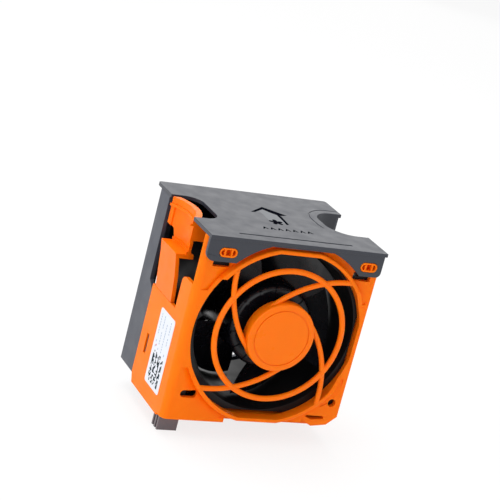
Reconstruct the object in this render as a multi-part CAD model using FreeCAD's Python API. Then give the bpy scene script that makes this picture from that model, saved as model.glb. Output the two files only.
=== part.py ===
"""Hot-swap server fan module, in millimetres.

A 60 mm axial fan sits in a grey rear housing under a grey top cover. A moulded front guard
closes the inlet side and carries the side walls, the floor and a spiral finger guard. A sprung
latch on the left wall locks the module in its cage, and a plug at the front left feeds the fan.

Axes: X to the right seen from the inlet, Y along the airflow, Z up. The origin is the centre of
the cover's footprint, on the plane of the module's floor.
"""
import FreeCAD, Part
import math
import os
from FreeCAD import Vector

# ---- fan: a standard 60 x 60 x 38 mm size, which the rest is built around ----
FAN_SIZE = 60.0
FAN_DEPTH = 38.0
TUBE_WALL = 1.2
FAN_FLANGE_T = 4.0
FAN_CORNER_R = 3.0
FAN_HOLE_PITCH = FAN_SIZE * 5 / 6
FAN_HOLE_R = 2.15
INLET_FLARE = 0.9        # how much wider the duct is at its mouth
INLET_FLARE_LEN = 2.5
STRUT_W = 2.2
STRUT_D = 4.2
STRUTS = 4
BASE_T = 2.2

# ---- room around the fan ----
WALL = 1.5               # moulded side walls and floor
FIT = 0.2                # clearance between pieces that sit beside each other
FAN_GAP_LEFT = 3.2       # room for the latch and the leads
FAN_GAP_RIGHT = 0.6
FAN_LIFT = 3.8           # fan's underside above the floor
FAN_HEADROOM = 2.7       # fan's top below the cover
MOUNT_H = 3.5            # rubber mounts behind the fan
MOUNT_R = 3.6
COVER_T = 1.3
PLATE_T = 1.8
PLATE_SETBACK = 3.5      # front plate's face behind the cover's front edge
REAR_OVERHANG = 4.3      # cover's rear edge behind the rear housing

# ---- module ----
MODULE_W = FAN_SIZE + FAN_GAP_LEFT + FAN_GAP_RIGHT + 2 * WALL
COVER_W = MODULE_W
COVER_D = PLATE_SETBACK + PLATE_T + FIT + FAN_DEPTH + MOUNT_H + WALL + REAR_OVERHANG
COVER_TOP = WALL + FAN_LIFT + FAN_SIZE + FAN_HEADROOM + COVER_T
COVER_UNDER = COVER_TOP - COVER_T
LEFT = -MODULE_W / 2
RIGHT = MODULE_W / 2
FAN_X = LEFT + WALL + FAN_GAP_LEFT + FAN_SIZE / 2
FAN_Z = WALL + FAN_LIFT + FAN_SIZE / 2
FRONT = -COVER_D / 2 + PLATE_SETBACK     # front plate's face
PLATE_BACK = FRONT + PLATE_T
FAN_FRONT = PLATE_BACK + FIT
FAN_REAR = FAN_FRONT + FAN_DEPTH
HOUSING_REAR = FAN_REAR + MOUNT_H + WALL
BASE_FRONT = FAN_REAR - BASE_T
BORE_R = FAN_SIZE / 2 - TUBE_WALL
AXIS = Vector(FAN_X, 0, FAN_Z)

# ---- front plate ----
PLATE_LIFT = 0.85        # lower edge at the left, above the floor plane
STEP_UP = 1.85           # the lower edge is higher by this right of the step
STEP_RIGHT = 23.3
STEP_X = LEFT + STEP_RIGHT
EDGE_R = 2.6             # soft vertical corner at the left
CORNER_CUT = 3.6         # chamfer of the lower right corner
LIP_LEFT = 14.1          # lip below the plate's lower right slot, from the right wall
OPENING_R = BORE_R + 2.5
OPENING_FLAT = OPENING_R - 0.9           # flats above and below the opening's centre
OPENING_Z = FAN_Z - 0.9
RIM_W = 1.4
RIM_PROUD = 2.3          # raised rim in front of the plate
RIM_ROUND = 0.6
RIM_END = 0.62           # height where the rim ends, as a share of the opening's radius
RIM_TAPER = 0.18
SCOOP_W = 2.7            # shallow scoop in the plate around the rim
SCOOP_DEPTH = 0.9
HOLE_R = 1.5
HOLE_X = RIGHT - 3.6
HOLE_Z = 10.8
LEFT_SLOT_X = LEFT + 7.9
LEFT_SLOT_Z = 10.6
LEFT_SLOT_W = 6.4
LEFT_SLOT_H = 2.7

# ---- finger guard ----
GUARD_RING_R = 23.7
GUARD_WIRE = 2.0         # thickness of the ring
GUARD_WIRE_Y = 1.7       # centre of the ring's section in front of the plate
SPOKE_WIRE = 1.84        # thickness of the spokes
SPOKE_BACK = 0.16        # spoke's centre behind the ring's
GUARD_HUB_R = 12.4
GUARD_HUB_PROUD = 4.0    # hub face in front of the plate
GUARD_HUB_DEPTH = 4.4
GUARD_HUB_WALL = 1.5
GUARD_HUB_ROUND = 0.6
HUB_GROOVE_R = 10.3
HUB_GROOVE_W = 0.5
HUB_GROOVE_DEPTH = 0.3
SPOKES = 4
SPOKE_OVERRUN = 6.0      # degrees of a spoke's arc past its outer point, into the rim
SPOKE_ARC = ((OPENING_R + 0.1, 133.0), (GUARD_RING_R - 4.1, 160.0), (GUARD_HUB_R - 1.3, 224.0))

# ---- snap loops that hold the cover's front flange ----
LOOP_W = 6.4
LOOP_H = 3.2
LOOP_WALL = 0.55
LOOP_BAR = 0.6
LOOP_BAR_X = 1.25
LOOP_X = (LEFT + 7.65, RIGHT - 5.95)
LOOP_Z = COVER_TOP - 5.7
WINDOW_LEFT = 3.1        # plate windows below the loops: reach to the left and right of a loop
WINDOW_RIGHT = 3.6
WINDOW_DROP = 12.0       # lower edge below the cover's top face

# ---- left wall and latch, as distances behind the plate's face ----
STEP_Y = 5.0
WALL_REAR = 32.7
FLOOR_REAR = 31.0
HEEL_Z = 3.4             # chamfer at the lower rear corner of the walls
POST_REAR = 10.5
POST_DROP = 19.7         # top of the front post below the cover's top face
POST_TOP = COVER_TOP - POST_DROP
POST_ROUND = 2.6
ARM_FRONT = 15.0
ARM_REAR = 30.4
LEDGE_DROP = 14.7        # hook ledge below the cover's top face
ARM_LEN = 17.3           # from the latch's root up to its ledge
LEDGE_Z = COVER_TOP - LEDGE_DROP
ROOT_Z = LEDGE_Z - ARM_LEN
ROOT_GAP = 0.15
LEDGE_REACH = 1.8        # hook ledge outside the wall's face
SHELF_DEPTH = 4.8        # the ledge's shelf reaches this far inside the wall's face
LATCH_T = 1.5
TAB_FRONT = 14.0
TAB_REAR = 34.2
TAB_TOP = COVER_TOP - 0.3
TAB_SAG = 3.4            # how far the thumb panel bows inwards
TAB_RECESS = 0.5         # panel's face behind its raised rear border
TAB_BORDER = 1.2
LIP_H = 2.4
LIP_EXTRA = 0.7
RIDGE_H = 0.9            # ridge on the panel's face below the lip
RIDGE_PROUD = 0.5
WEB_REACH = 4.6          # web behind the panel's front edge
WEB_T = 1.1

# ---- cover ----
FLANGE_T = 1.5
FLANGE_SETBACK = 0.3     # flange's face behind the cover's front edge
FLANGE_DROP = 9.1        # flange lobes below the cover's top face
FLANGE_SHORT = 0.75      # flange's right end short of the right wall
LOBE_ROUND_LEFT = 2.8
LOBE_ROUND_RIGHT = 1.8
ARCH_R = OPENING_R + 2.8
ARCH_DROP = 1.95         # top of the arch below the cover's top face
CUT_FRONT = 13.4         # left thumb cut-out, behind the plate's face
CUT_REAR = 35.5
CUT_DEPTH = 10.3
CUT_CORNER = 5.5
GRIP_FRONT = 12.3        # right finger pocket
GRIP_REAR = 35.0
GRIP_DEPTH = 13.3
GRIP_CORNER = 9.0
GRIP_LINE = 2.8          # engraved line around the pocket
GRIP_LINE_W = 0.4
LINE_DEPTH = 0.25
SKIRT_T = 0.9
SKIRT_H = 6.0
REAR_FLANGE_H = 7.8
REAR_FLANGE_GAP = 1.2
COVER_CORNER = 1.3
GROOVE_LEN = 43.0
GROOVE_W = 0.7
GROOVE_DEPTH = 0.5

# ---- rear housing ----
STRIP_FRONT = 36.5
STRIP_BOTTOM = 3.1
OUTLET_R = BORE_R + 0.4
CATCH_Y = 26.45          # catch window in the side wall, behind the plate's face
CATCH_Z = 17.0
CATCH_W = 2.1
CATCH_H = 7.4
CATCH_PLAY = 0.15
TONGUE_T = 1.1
TONGUE_H = 9.0

# ---- rotor ----
TIP_GAP = 0.6
BLADES = 5
BLADE_START = 12.0       # angle of the first blade at rest
BLADE_ROOT = (46.0, 29.0, 1.7, 1.6)      # pitch, chord, thickness, camber
BLADE_MIDDLE = (32.0, 41.0, 1.4, 1.2)
BLADE_TIP = (25.0, 50.0, 1.1, 1.0)
BLADE_STEPS = 6
HUB_R = FAN_SIZE * 0.257
HUB_FRONT = 3.0          # hub nose behind the fan's front face
HUB_LEN = FAN_DEPTH - HUB_FRONT - STRUT_D - 1.2
HUB_SKIN = 1.4
HUB_NOSE_T = 2.0
HUB_ROUND = 2.2
HUB_Y = FAN_FRONT + HUB_FRONT
CUP_R = HUB_R - HUB_SKIN
CUP_T = 1.0
BOSS_R = 3.4
BOSS_LEN = 3.0
BASE_R = CUP_R
MAGNET_T = CUP_R / 10
MAGNET_LEN = 18.0
AIR_GAP = 0.4

# ---- shaft and two ball bearings: 3 x 8 x 4 mm in a 60 mm fan ----
SHAFT_R = FAN_SIZE / 40
BEARING_R = FAN_SIZE / 15
BEARING_W = FAN_SIZE / 15
INNER_RING_R = SHAFT_R + 0.8
RUN_GAP = 0.08           # radial clearance of the bearing's inner ring in its shield
RING_GROOVE = 0.3
RING_W = 0.4
RING_PROUD = 0.9
SLEEVE_R = BEARING_R + 1.2               # brass bearing tube
SLEEVE_SHOULDER = 0.8
SPRING_WALL = 0.5
SPRING_FLARE = 1.0

# ---- stator ----
STATOR_R = CUP_R - CUP_T - MAGNET_T - AIR_GAP
STATOR_LEN = 10.0
STATOR_POLES = 6
POLE_W = 2.0
SHOE_T = 1.0
SHOE_GAP = 1.4
CORE_RING = 1.6
COIL_LEN = 14.0
COIL_W = 3.8
COIL_ROUND = 1.2
INSULATOR_T = 0.7
INSULATOR_WALL = 2.4
BOARD_R = BASE_R - HUB_SKIN
BOARD_T = 1.0
BOARD_LIFT = 1.4
BOARD_PARTS = (          # place as a share of the board's radius, angle, width, height, thickness
    (0.71, 150.0, 3.0, 4.0, 1.1), (0.73, 60.0, 2.4, 2.0, 0.9), (0.75, 15.0, 1.6, 0.9, 0.6),
    (0.75, -15.0, 1.6, 0.9, 0.6), (0.71, -60.0, 3.0, 2.6, 1.1), (0.75, 100.0, 1.6, 0.9, 0.6))

# ---- plug, leads and label ----
PLUG_W = 7.4
PLUG_D = 5.0
PLUG_Y = 4.8             # front of the plug behind the plate's face
PLUG_DROP = 5.6          # below the floor plane
PLUG_TOP = 4.7
PLUG_COLLAR = 0.8
PLUG_COLLAR_T = 1.2
CHAMBER_W = 1.0
CHAMBER_DEPTH = 4.0
CHAMBER_PITCH = (2.2, 2.0)
CHAMBERS = (3, 2)
CONTACT_W = 0.6
LEAD_R = 0.55
LEAD_PITCH = 1.3
LEAD_BEND = 1.2
LEAD_DROP = 6.6          # middle of the ribbon of leads below the fan's axis
CHANNEL_DEPTH = 2.2
LEADS = ("lead_supply", "lead_return", "lead_tachometer", "lead_control")
LABEL_W = 13.4
LABEL_H = 27.6
LABEL_T = 0.12
LABEL_ROUND = 1.0
LABEL_Y = 13.8           # middle of the label behind the plate's face
LABEL_Z = 19.7
SADDLE_X = 14.0          # ribs under the fan, to each side of its axis
SADDLE_T = 1.6


def box(x0, x1, y0, y1, z0, z1):
    """Box between two corners."""
    return Part.makeBox(x1 - x0, y1 - y0, z1 - z0, Vector(x0, y0, z0))


def disc(radius, y0, y1, x=FAN_X, z=FAN_Z):
    """Cylinder along Y, on the fan axis unless told otherwise."""
    return Part.makeCylinder(radius, y1 - y0, Vector(x, y0, z), Vector(0, 1, 0))


def tube(outer, inner, y0, y1):
    """Round tube on the fan axis."""
    return disc(outer, y0, y1).cut(disc(inner, y0 - 1, y1 + 1))


def prism(points, along, start, end):
    """Extrude a polygon drawn across axis 'along' from start to end."""
    place = {"x": lambda a, b: Vector(start, a, b),
             "y": lambda a, b: Vector(a, start, b),
             "z": lambda a, b: Vector(a, b, start)}[along]
    run = {"x": Vector(1, 0, 0), "y": Vector(0, 1, 0), "z": Vector(0, 0, 1)}[along]
    corners = [place(a, b) for a, b in points]
    face = Part.Face(Part.makePolygon(corners + corners[:1]))
    return face.extrude(run * (end - start))


def stadium(x, z, width, height, y0, y1):
    """Round-ended slot shape along Y."""
    half = (width - height) / 2
    body = box(x - half, x + half, y0, y1, z - height / 2, z + height / 2)
    for side in (-half, half):
        body = body.fuse(disc(height / 2, y0, y1, x + side, z))
    return body.removeSplitter()


def fan_point(radius, angle, y=0.0):
    """Point at a radius and angle around the fan axis."""
    turn = math.radians(angle)
    return Vector(FAN_X + radius * math.cos(turn), y, FAN_Z + radius * math.sin(turn))


def around(shape, count, first=0.0):
    """Copies of a shape, evenly spaced around the fan axis."""
    copies = []
    for index in range(count):
        copy = shape.copy()
        copy.rotate(AXIS, Vector(0, -1, 0), first + index * 360.0 / count)
        copies.append(copy)
    return copies


def save(node, shape):
    """Write one sub-part."""
    shape.exportStep("parts/" + node + ".step")
    solids = len(shape.Solids)
    print(node, "solids", solids, "volume", round(shape.Volume, 2), "valid", shape.isValid())


def flat_circle(radius, top, bottom, y0, y1, z=FAN_Z):
    """Disc behind the fan axis with a flat above and below."""
    wide = 2 * radius
    keep = box(FAN_X - wide, FAN_X + wide, y0, y1, z - bottom, z + top)
    return disc(radius, y0, y1, FAN_X, z).common(keep)


# ---- front guard -------------------------------------------------------------------------

def opening(extra, y0, y1):
    """The inlet opening's outline, grown by 'extra'."""
    flat = OPENING_FLAT + extra
    return flat_circle(OPENING_R + extra, flat, flat, y0, y1, OPENING_Z)


def front_plate():
    """Front plate with its lower edge, corners, slots, windows and the scoop around the rim."""
    low = PLATE_LIFT
    step = low + STEP_UP
    lip = RIGHT - LIP_LEFT
    outline = [(LEFT, low), (STEP_X - 0.3, low), (STEP_X + 0.3, step), (lip, step),
               (lip + 0.5, step + 1.4), (lip + 2.7, step - 0.2), (lip + 4.6, low + 0.7),
               (RIGHT - CORNER_CUT, low + 1.5), (RIGHT, low + 1.1 + CORNER_CUT),
               (RIGHT, COVER_UNDER - FIT), (LEFT, COVER_UNDER - FIT)]
    plate = prism(outline, "y", FRONT, PLATE_BACK)
    y0, y1 = FRONT - 1, PLATE_BACK + 1
    slot = [(lip + 1.5, step + 2.3), (lip + 1.9, step + 2.9), (lip + 8.7, step + 2.8),
            (lip + 8.9, step + 1.7), (lip + 4.0, step + 1.3)]
    line = [(HOLE_X - 1.9, HOLE_Z), (HOLE_X - 4.1, HOLE_Z - 1.4), (HOLE_X - 4.1, HOLE_Z - 1.8),
            (HOLE_X - 1.9, HOLE_Z - 0.4)]
    left_slot = stadium(LEFT_SLOT_X, LEFT_SLOT_Z, LEFT_SLOT_W, LEFT_SLOT_H, y0, y1)
    bump = disc(LEFT_SLOT_H / 2, y0 - 1, y1 + 1, LEFT_SLOT_X, LEFT_SLOT_Z - LEFT_SLOT_H)
    cuts = [opening(0, y0, y1), scoop(), left_slot.cut(bump), disc(HOLE_R, y0, y1, HOLE_X, HOLE_Z),
            prism(slot, "y", y0, y1), prism(line, "y", y0, FRONT + 0.5)]
    for x in LOOP_X:
        low = COVER_TOP - WINDOW_DROP
        cuts.append(box(x - WINDOW_LEFT, x + WINDOW_RIGHT, y0, y1, low, LOOP_Z - LOOP_H))
    return plate.cut(cuts)


def scoop():
    """Shallow ring-shaped scoop outside the rim, above and below the opening's middle."""
    inner = OPENING_R + RIM_W
    outer = inner + SCOOP_W
    section = [(inner, FRONT - 0.1), (outer, FRONT - 0.1), (outer - 0.1, FRONT), (inner, FRONT + SCOOP_DEPTH)]
    corners = [Vector(FAN_X + radius, y, OPENING_Z) for radius, y in section]
    face = Part.Face(Part.makePolygon(corners + corners[:1]))
    ring = face.revolve(Vector(FAN_X, 0, OPENING_Z), Vector(0, 1, 0), 360)
    half = (RIM_END - RIM_TAPER) * OPENING_R + 0.4
    return ring.cut(box(LEFT - 9, RIGHT + 9, FRONT - 1, PLATE_BACK + 1, OPENING_Z - half, OPENING_Z + half))


def rim():
    """Raised rim above and below the opening: an abrupt end at the upper left, tapers elsewhere."""
    y0 = FRONT - RIM_PROUD
    band = opening(RIM_W, y0, FRONT)
    band = band.makeFillet(RIM_ROUND, [e for e in band.Edges if abs(e.BoundBox.YMax - y0) < 0.01])
    band = band.cut(opening(0, y0 - 1, FRONT + 1))
    spread = OPENING_R + 2 * RIM_W
    cuts = []
    for side in (-1, 1):
        for up in (-1, 1):
            taper = 0.01 if (side, up) == (-1, 1) else RIM_TAPER
            near = OPENING_Z + up * (RIM_END - taper) * OPENING_R
            far = OPENING_Z + up * RIM_END * OPENING_R
            xs = sorted((FAN_X, FAN_X + side * spread))
            edge = [(FRONT, near), (y0 - 1, near), (y0 - 1, far + up * 0.6), (y0, far)]
            cuts.append(prism(edge, "x", xs[0], xs[1]))
            zs = sorted((OPENING_Z, near))
            cuts.append(box(xs[0], xs[1], y0 - 1, FRONT, zs[0], zs[1]))
    return band.cut(cuts)


def guard_ring():
    """Ring of the finger guard."""
    y = FRONT - GUARD_WIRE_Y
    return Part.makeTorus(GUARD_RING_R, GUARD_WIRE / 2, Vector(FAN_X, y, FAN_Z), Vector(0, 1, 0))


def guard_spoke():
    """One curved spoke, from inside the rim to the hub's edge."""
    y = FRONT - GUARD_WIRE_Y + SPOKE_BACK
    start, middle, end = [fan_point(r, a, y) for r, a in SPOKE_ARC]
    centre = Part.Arc(start, middle, end).toShape().Curve.Center
    first = start - centre
    last = end - centre
    turn = math.degrees(first.getAngle(last))
    normal = first.cross(last).normalize()
    across = normal.cross(first).normalize()
    profile = Part.Face(Part.Wire(Part.makeCircle(SPOKE_WIRE / 2, start, across)))
    profile.rotate(centre, normal, -SPOKE_OVERRUN)
    return profile.revolve(centre, normal, turn + SPOKE_OVERRUN)


def guard_hub():
    """Hub cap of the finger guard: a shallow cup with a bare face and a round groove."""
    y0 = FRONT - GUARD_HUB_PROUD
    cap = disc(GUARD_HUB_R, y0, y0 + GUARD_HUB_DEPTH)
    front_edge = [e for e in cap.Edges if abs(e.BoundBox.YMax - y0) < 0.01]
    cap = cap.makeFillet(GUARD_HUB_ROUND, front_edge)
    hollow = disc(GUARD_HUB_R - GUARD_HUB_WALL, y0 + GUARD_HUB_WALL, y0 + GUARD_HUB_DEPTH + 1)
    groove = tube(HUB_GROOVE_R, HUB_GROOVE_R - HUB_GROOVE_W, y0 - 1, y0 + HUB_GROOVE_DEPTH)
    return cap.cut([hollow, groove])


def finger_guard():
    """Ring, spokes and hub, seated against the opening's wall."""
    inside = opening(0, FRONT - 2 * GUARD_HUB_DEPTH, PLATE_BACK)
    body = guard_hub().fuse([guard_ring()] + around(guard_spoke(), SPOKES))
    return body.removeSplitter().common(inside)


def snap_loops():
    """Two loops that stand through the cover's flange, each on a pad."""
    loops = []
    flange_back = -COVER_D / 2 + FLANGE_SETBACK + FLANGE_T
    face = -COVER_D / 2 + FLANGE_SETBACK
    for x in LOOP_X:
        pad = stadium(x, LOOP_Z, LOOP_W + 2.4, LOOP_H + 2.2, flange_back, FRONT)
        loop = stadium(x, LOOP_Z, LOOP_W, LOOP_H, face - 0.1, FRONT)
        inner = stadium(x, LOOP_Z, LOOP_W - 2 * LOOP_WALL, LOOP_H - 2 * LOOP_WALL,
                        face - 1, FRONT - 0.6)
        body = pad.fuse(loop).cut(inner)
        high = LOOP_H / 2 - 0.3
        for side in (-1, 1):
            bar = x + side * LOOP_BAR_X
            body = body.fuse(box(bar - LOOP_BAR / 2, bar + LOOP_BAR / 2, face, FRONT,
                                 LOOP_Z - high, LOOP_Z + high))
        loops.append(body)
    return loops


def left_wall():
    """Left wall: front post, slot beside the latch arm, and the arm's root."""
    slot_z = ROOT_Z - ROOT_GAP
    f = FRONT
    outline = [(f, PLATE_LIFT), (f + STEP_Y, PLATE_LIFT), (f + STEP_Y, 0), (f + FLOOR_REAR, 0),
               (f + WALL_REAR, HEEL_Z), (f + WALL_REAR, slot_z), (f + POST_REAR, slot_z),
               (f + POST_REAR, POST_TOP), (f, POST_TOP)]
    wall = prism(outline, "x", LEFT, LEFT + WALL)
    corner = [e for e in wall.Edges if abs(e.BoundBox.YMin - f - POST_REAR) < 0.01
              and abs(e.BoundBox.ZMin - POST_TOP) < 0.01 and e.BoundBox.XLength > 1]
    wall = wall.makeFillet(POST_ROUND, corner)
    return wall.cut(catch_window(LEFT))


def right_wall():
    """Right wall, as high as the left wall's front post."""
    f = FRONT
    outline = [(f, PLATE_LIFT + 1.1 + CORNER_CUT), (f + floor_corner(), 0), (f + FLOOR_REAR, 0),
               (f + WALL_REAR, HEEL_Z), (f + WALL_REAR, ROOT_Z),
               (f + POST_REAR + 6, ROOT_Z), (f + POST_REAR, POST_TOP), (f, POST_TOP)]
    return prism(outline, "x", RIGHT - WALL, RIGHT).cut(catch_window(RIGHT - WALL))


def floor_corner():
    """How far behind the plate's face the floor's cut front right corner ends."""
    return 2 * STEP_Y + 2


def catch_window(x0):
    """Slot in a side wall for the rear housing's catch."""
    y = FRONT + CATCH_Y
    return box(x0 - 1, x0 + WALL + 1, y - CATCH_W / 2, y + CATCH_W / 2,
               CATCH_Z - CATCH_H / 2, CATCH_Z + CATCH_H / 2)


def plug_x():
    """Left face of the plug, against the left wall."""
    return LEFT + WALL + 0.1


def guard_floor():
    """Floor between the side walls, with the plug's hole and two saddle ribs for the fan."""
    f = FRONT
    y1 = f + FLOOR_REAR
    step = PLATE_LIFT + STEP_UP
    cut_x = RIGHT - CORNER_CUT
    outline = [(LEFT, f + STEP_Y), (cut_x, f + STEP_Y), (RIGHT, f + floor_corner()), (RIGHT, y1), (LEFT, y1)]
    floor = prism(outline, "z", 0, WALL)
    floor = floor.fuse([box(LEFT, STEP_X, f, f + STEP_Y + 0.01, PLATE_LIFT, PLATE_LIFT + WALL),
                        box(STEP_X - WALL, cut_x, PLATE_BACK - 0.01, f + STEP_Y + WALL, step, step + 1.1),
                        box(STEP_X - WALL, cut_x, f + STEP_Y, f + STEP_Y + WALL, 0, step + 1.1)])
    x = plug_x()
    y = f + PLUG_Y
    hole = box(x - FIT, x + PLUG_W + FIT, y - FIT, y + PLUG_D + FIT, -1, 2 * PLUG_TOP)
    room = PLUG_COLLAR + FIT
    hole = hole.fuse(box(x - FIT, x + PLUG_W + room, y - room, y + PLUG_D + room, WALL, 2 * PLUG_TOP))
    ribs = []
    for x in (FAN_X - SADDLE_X, FAN_X + SADDLE_X):
        ribs.append(box(x - SADDLE_T / 2, x + SADDLE_T / 2, f + STEP_Y, y1 - 1, WALL - 0.1,
                        FAN_Z - FAN_SIZE / 2))
    return floor.fuse(ribs).cut(hole)


def front_guard():
    """Whole front moulding without its finger guard."""
    body = front_plate().fuse([left_wall(), right_wall(), guard_floor()]).removeSplitter()
    corner = box(LEFT - 1, LEFT + EDGE_R, FRONT - 1, FRONT + EDGE_R, -1, COVER_TOP)
    post = Part.makeCylinder(EDGE_R, COVER_TOP + 2, Vector(LEFT + EDGE_R, FRONT + EDGE_R, -1))
    body = body.cut(corner.cut(post))
    return body.fuse([rim()] + snap_loops()).removeSplitter()


# ---- latch -------------------------------------------------------------------------------

def latch_panel(proud, thick, y0, y1, z0, z1):
    """Plate bowed inwards in plan: 'proud' moves its outer face outwards."""
    middle = FRONT + (TAB_FRONT + TAB_REAR) / 2
    half = (TAB_REAR - TAB_FRONT) / 2
    radius = (half * half + TAB_SAG * TAB_SAG) / (2 * TAB_SAG)
    face_x = LEFT + 0.3
    centre = Vector(face_x + TAB_SAG - radius, middle, z0)
    outer = Part.makeCylinder(radius + thick, z1 - z0, centre)
    inner = Part.makeCylinder(radius - proud, z1 - z0, centre)
    keep = box(face_x - 1.2, face_x + radius, y0, y1, z0, z1)
    return outer.cut(inner).common(keep)


def release_latch():
    """Sprung latch: leaning arm, hook ledge, bowed thumb panel, ridge, web and top lip."""
    outer, inner = LEFT, LEFT + LATCH_T
    ledge_x = LEFT - LEDGE_REACH
    shelf = LEFT + SHELF_DEPTH
    f, top = FRONT, TAB_TOP
    profile = [(outer, ROOT_Z), (ledge_x, LEDGE_Z), (shelf, LEDGE_Z), (shelf, LEDGE_Z - LATCH_T),
               (ledge_x + LATCH_T, LEDGE_Z - LATCH_T), (inner, ROOT_Z)]
    shape = [(f + ARM_FRONT + 0.3, ROOT_Z), (f + ARM_FRONT, ROOT_Z + 4), (f + ARM_FRONT, ROOT_Z + 10),
             (f + ARM_FRONT + 0.8, LEDGE_Z - 3), (f + ARM_FRONT + 1.5, LEDGE_Z),
             (f + ARM_REAR + 0.6, LEDGE_Z), (f + ARM_REAR, LEDGE_Z - 3.5), (f + ARM_REAR, ROOT_Z)]
    arm = prism(profile, "y", f, f + WALL_REAR).common(prism(shape, "x", ledge_x - 1, shelf + 1))
    ends = (f + TAB_FRONT, f + TAB_REAR)
    rise = top - LEDGE_Z
    wide_z = LEDGE_Z + 0.41 * rise
    panel = latch_panel(0, LATCH_T, ends[0], ends[1], LEDGE_Z - 0.5, top)
    recess = latch_panel(1, TAB_RECESS, ends[0] - 1, ends[1] - TAB_BORDER, LEDGE_Z + 1, top - LIP_H - RIDGE_H)
    lip = latch_panel(0, LATCH_T + LIP_EXTRA, ends[0], ends[1], top - LIP_H, top)
    ridge = latch_panel(RIDGE_PROUD, LATCH_T, ends[0], ends[1], top - LIP_H - RIDGE_H, top - LIP_H)
    side = [(ends[0], top), (ends[0], wide_z), (ends[0] + 1.4, LEDGE_Z + 0.3 * rise),
            (ends[0] + 3.2, LEDGE_Z + 0.17 * rise), (f + ARM_FRONT + 1.5, LEDGE_Z),
            (f + ARM_FRONT + 1.5, ROOT_Z), (f + ARM_REAR, ROOT_Z), (f + ARM_REAR + 0.6, LEDGE_Z),
            (ends[1] - 2.1, LEDGE_Z + 0.26 * rise), (ends[1], LEDGE_Z + 0.35 * rise), (ends[1], top)]
    tab = panel.cut(recess).fuse([lip, ridge]).common(prism(side, "x", LEFT - 5, LEFT + 15))
    web = box(LEFT + 1.6, LEFT + 1.6 + WEB_REACH, ends[0], ends[0] + WEB_T, wide_z, top - 1.6)
    return arm.fuse([tab, web]).removeSplitter()


# ---- cover -------------------------------------------------------------------------------

def d_shape(x_edge, inward, depth, y0, y1, z0, z1, corner):
    """D-shaped block that enters a side edge: straight sides with large round corners."""
    x_far = x_edge + inward * depth
    x0, x1 = sorted((x_edge - inward * 2, x_far))
    block = box(x0, x1, y0, y1, z0, z1)
    edges = [e for e in block.Edges
             if e.BoundBox.ZLength > 0.5 and abs(e.BoundBox.XMin - x_far) < 0.01]
    return block.makeFillet(corner, edges)


def thumb_cut(z0, z1):
    """Cut-out in the cover's left edge, clear of the pressed latch."""
    return d_shape(-COVER_W / 2, 1, CUT_DEPTH, FRONT + CUT_FRONT, FRONT + CUT_REAR, z0, z1, CUT_CORNER)


def grip_cut(extra, z0, z1):
    """Finger pocket in the cover's right edge, grown by 'extra'."""
    return d_shape(COVER_W / 2, -1, GRIP_DEPTH + extra, FRONT + GRIP_FRONT - extra,
                   FRONT + GRIP_REAR + extra, z0, z1, GRIP_CORNER + extra)


def front_flange():
    """Flange over the front plate, arched over the rim, with two slots."""
    y0 = -COVER_D / 2 + FLANGE_SETBACK
    low = COVER_TOP - FLANGE_DROP
    flange = box(LEFT, RIGHT - FLANGE_SHORT, y0, y0 + FLANGE_T, low, COVER_UNDER)
    for x, radius in ((LEFT, LOBE_ROUND_LEFT), (RIGHT - FLANGE_SHORT, LOBE_ROUND_RIGHT)):
        corner = [e for e in flange.Edges if e.BoundBox.YLength > 1
                  and abs(e.BoundBox.ZMin - low) < 0.01 and abs(e.BoundBox.XMin - x) < 0.01]
        flange = flange.makeFillet(radius, corner)
    cuts = [flat_circle(ARCH_R, COVER_TOP - ARCH_DROP - FAN_Z, ARCH_R, y0 - 1, FRONT)]
    for x in LOOP_X:
        cuts.append(stadium(x, LOOP_Z, LOOP_W + 0.3, LOOP_H + 0.3, y0 - 1, FRONT))
    return flange.cut(cuts)


def grip_line():
    """Engraved line beside the finger pocket, open at its front."""
    z0, z1 = COVER_TOP - LINE_DEPTH, COVER_TOP + 1
    ring = grip_cut(GRIP_LINE + GRIP_LINE_W, z0, z1).cut(grip_cut(GRIP_LINE, z0 - 1, z1 + 1))
    return ring.cut(box(0, COVER_W, -COVER_D, FRONT + GRIP_FRONT + 5, z0 - 1, z1 + 1))


def top_cover():
    """Cover plate with both cut-outs, skirt, flanges, the engraved line and the straight groove."""
    half_w, half_d = COVER_W / 2, COVER_D / 2
    plate = box(-half_w, half_w, -half_d, half_d, COVER_UNDER, COVER_TOP)
    plate = plate.makeFillet(COVER_CORNER, [e for e in plate.Edges if e.BoundBox.ZLength > 1
                                            and e.BoundBox.YMin > 0])
    rear_y = HOUSING_REAR + REAR_FLANGE_GAP
    flange = box(LEFT + COVER_CORNER, RIGHT - COVER_CORNER, rear_y, rear_y + FLANGE_T,
                 COVER_TOP - REAR_FLANGE_H, COVER_UNDER)
    skirt = grip_cut(SKIRT_T, COVER_UNDER - SKIRT_H, COVER_UNDER)
    skirt = skirt.cut(box(RIGHT - WALL, half_w + 9, -half_d, half_d, 0, COVER_TOP))
    body = plate.fuse([front_flange(), flange, skirt])
    groove_y = FRONT + 1.0
    groove = box(-GROOVE_LEN / 2, GROOVE_LEN / 2, groove_y, groove_y + GROOVE_W,
                 COVER_TOP - GROOVE_DEPTH, COVER_TOP + 1)
    cuts = [thumb_cut(COVER_UNDER - 1, COVER_TOP + 1), grip_cut(0, 0, COVER_TOP + 1), groove, grip_line()]
    return body.cut(cuts).removeSplitter()


# ---- rear housing ------------------------------------------------------------------------

def housing_side(x0):
    """One side strip of the rear housing, stepped back beside the latch."""
    f = FRONT
    outline = [(f + WALL_REAR + 0.1, STRIP_BOTTOM), (HOUSING_REAR, STRIP_BOTTOM),
               (HOUSING_REAR, COVER_UNDER), (f + STRIP_FRONT, COVER_UNDER),
               (f + STRIP_FRONT, ROOT_Z), (f + WALL_REAR + 0.1, ROOT_Z - 2.5)]
    return prism(outline, "x", x0, x0 + WALL)


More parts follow.
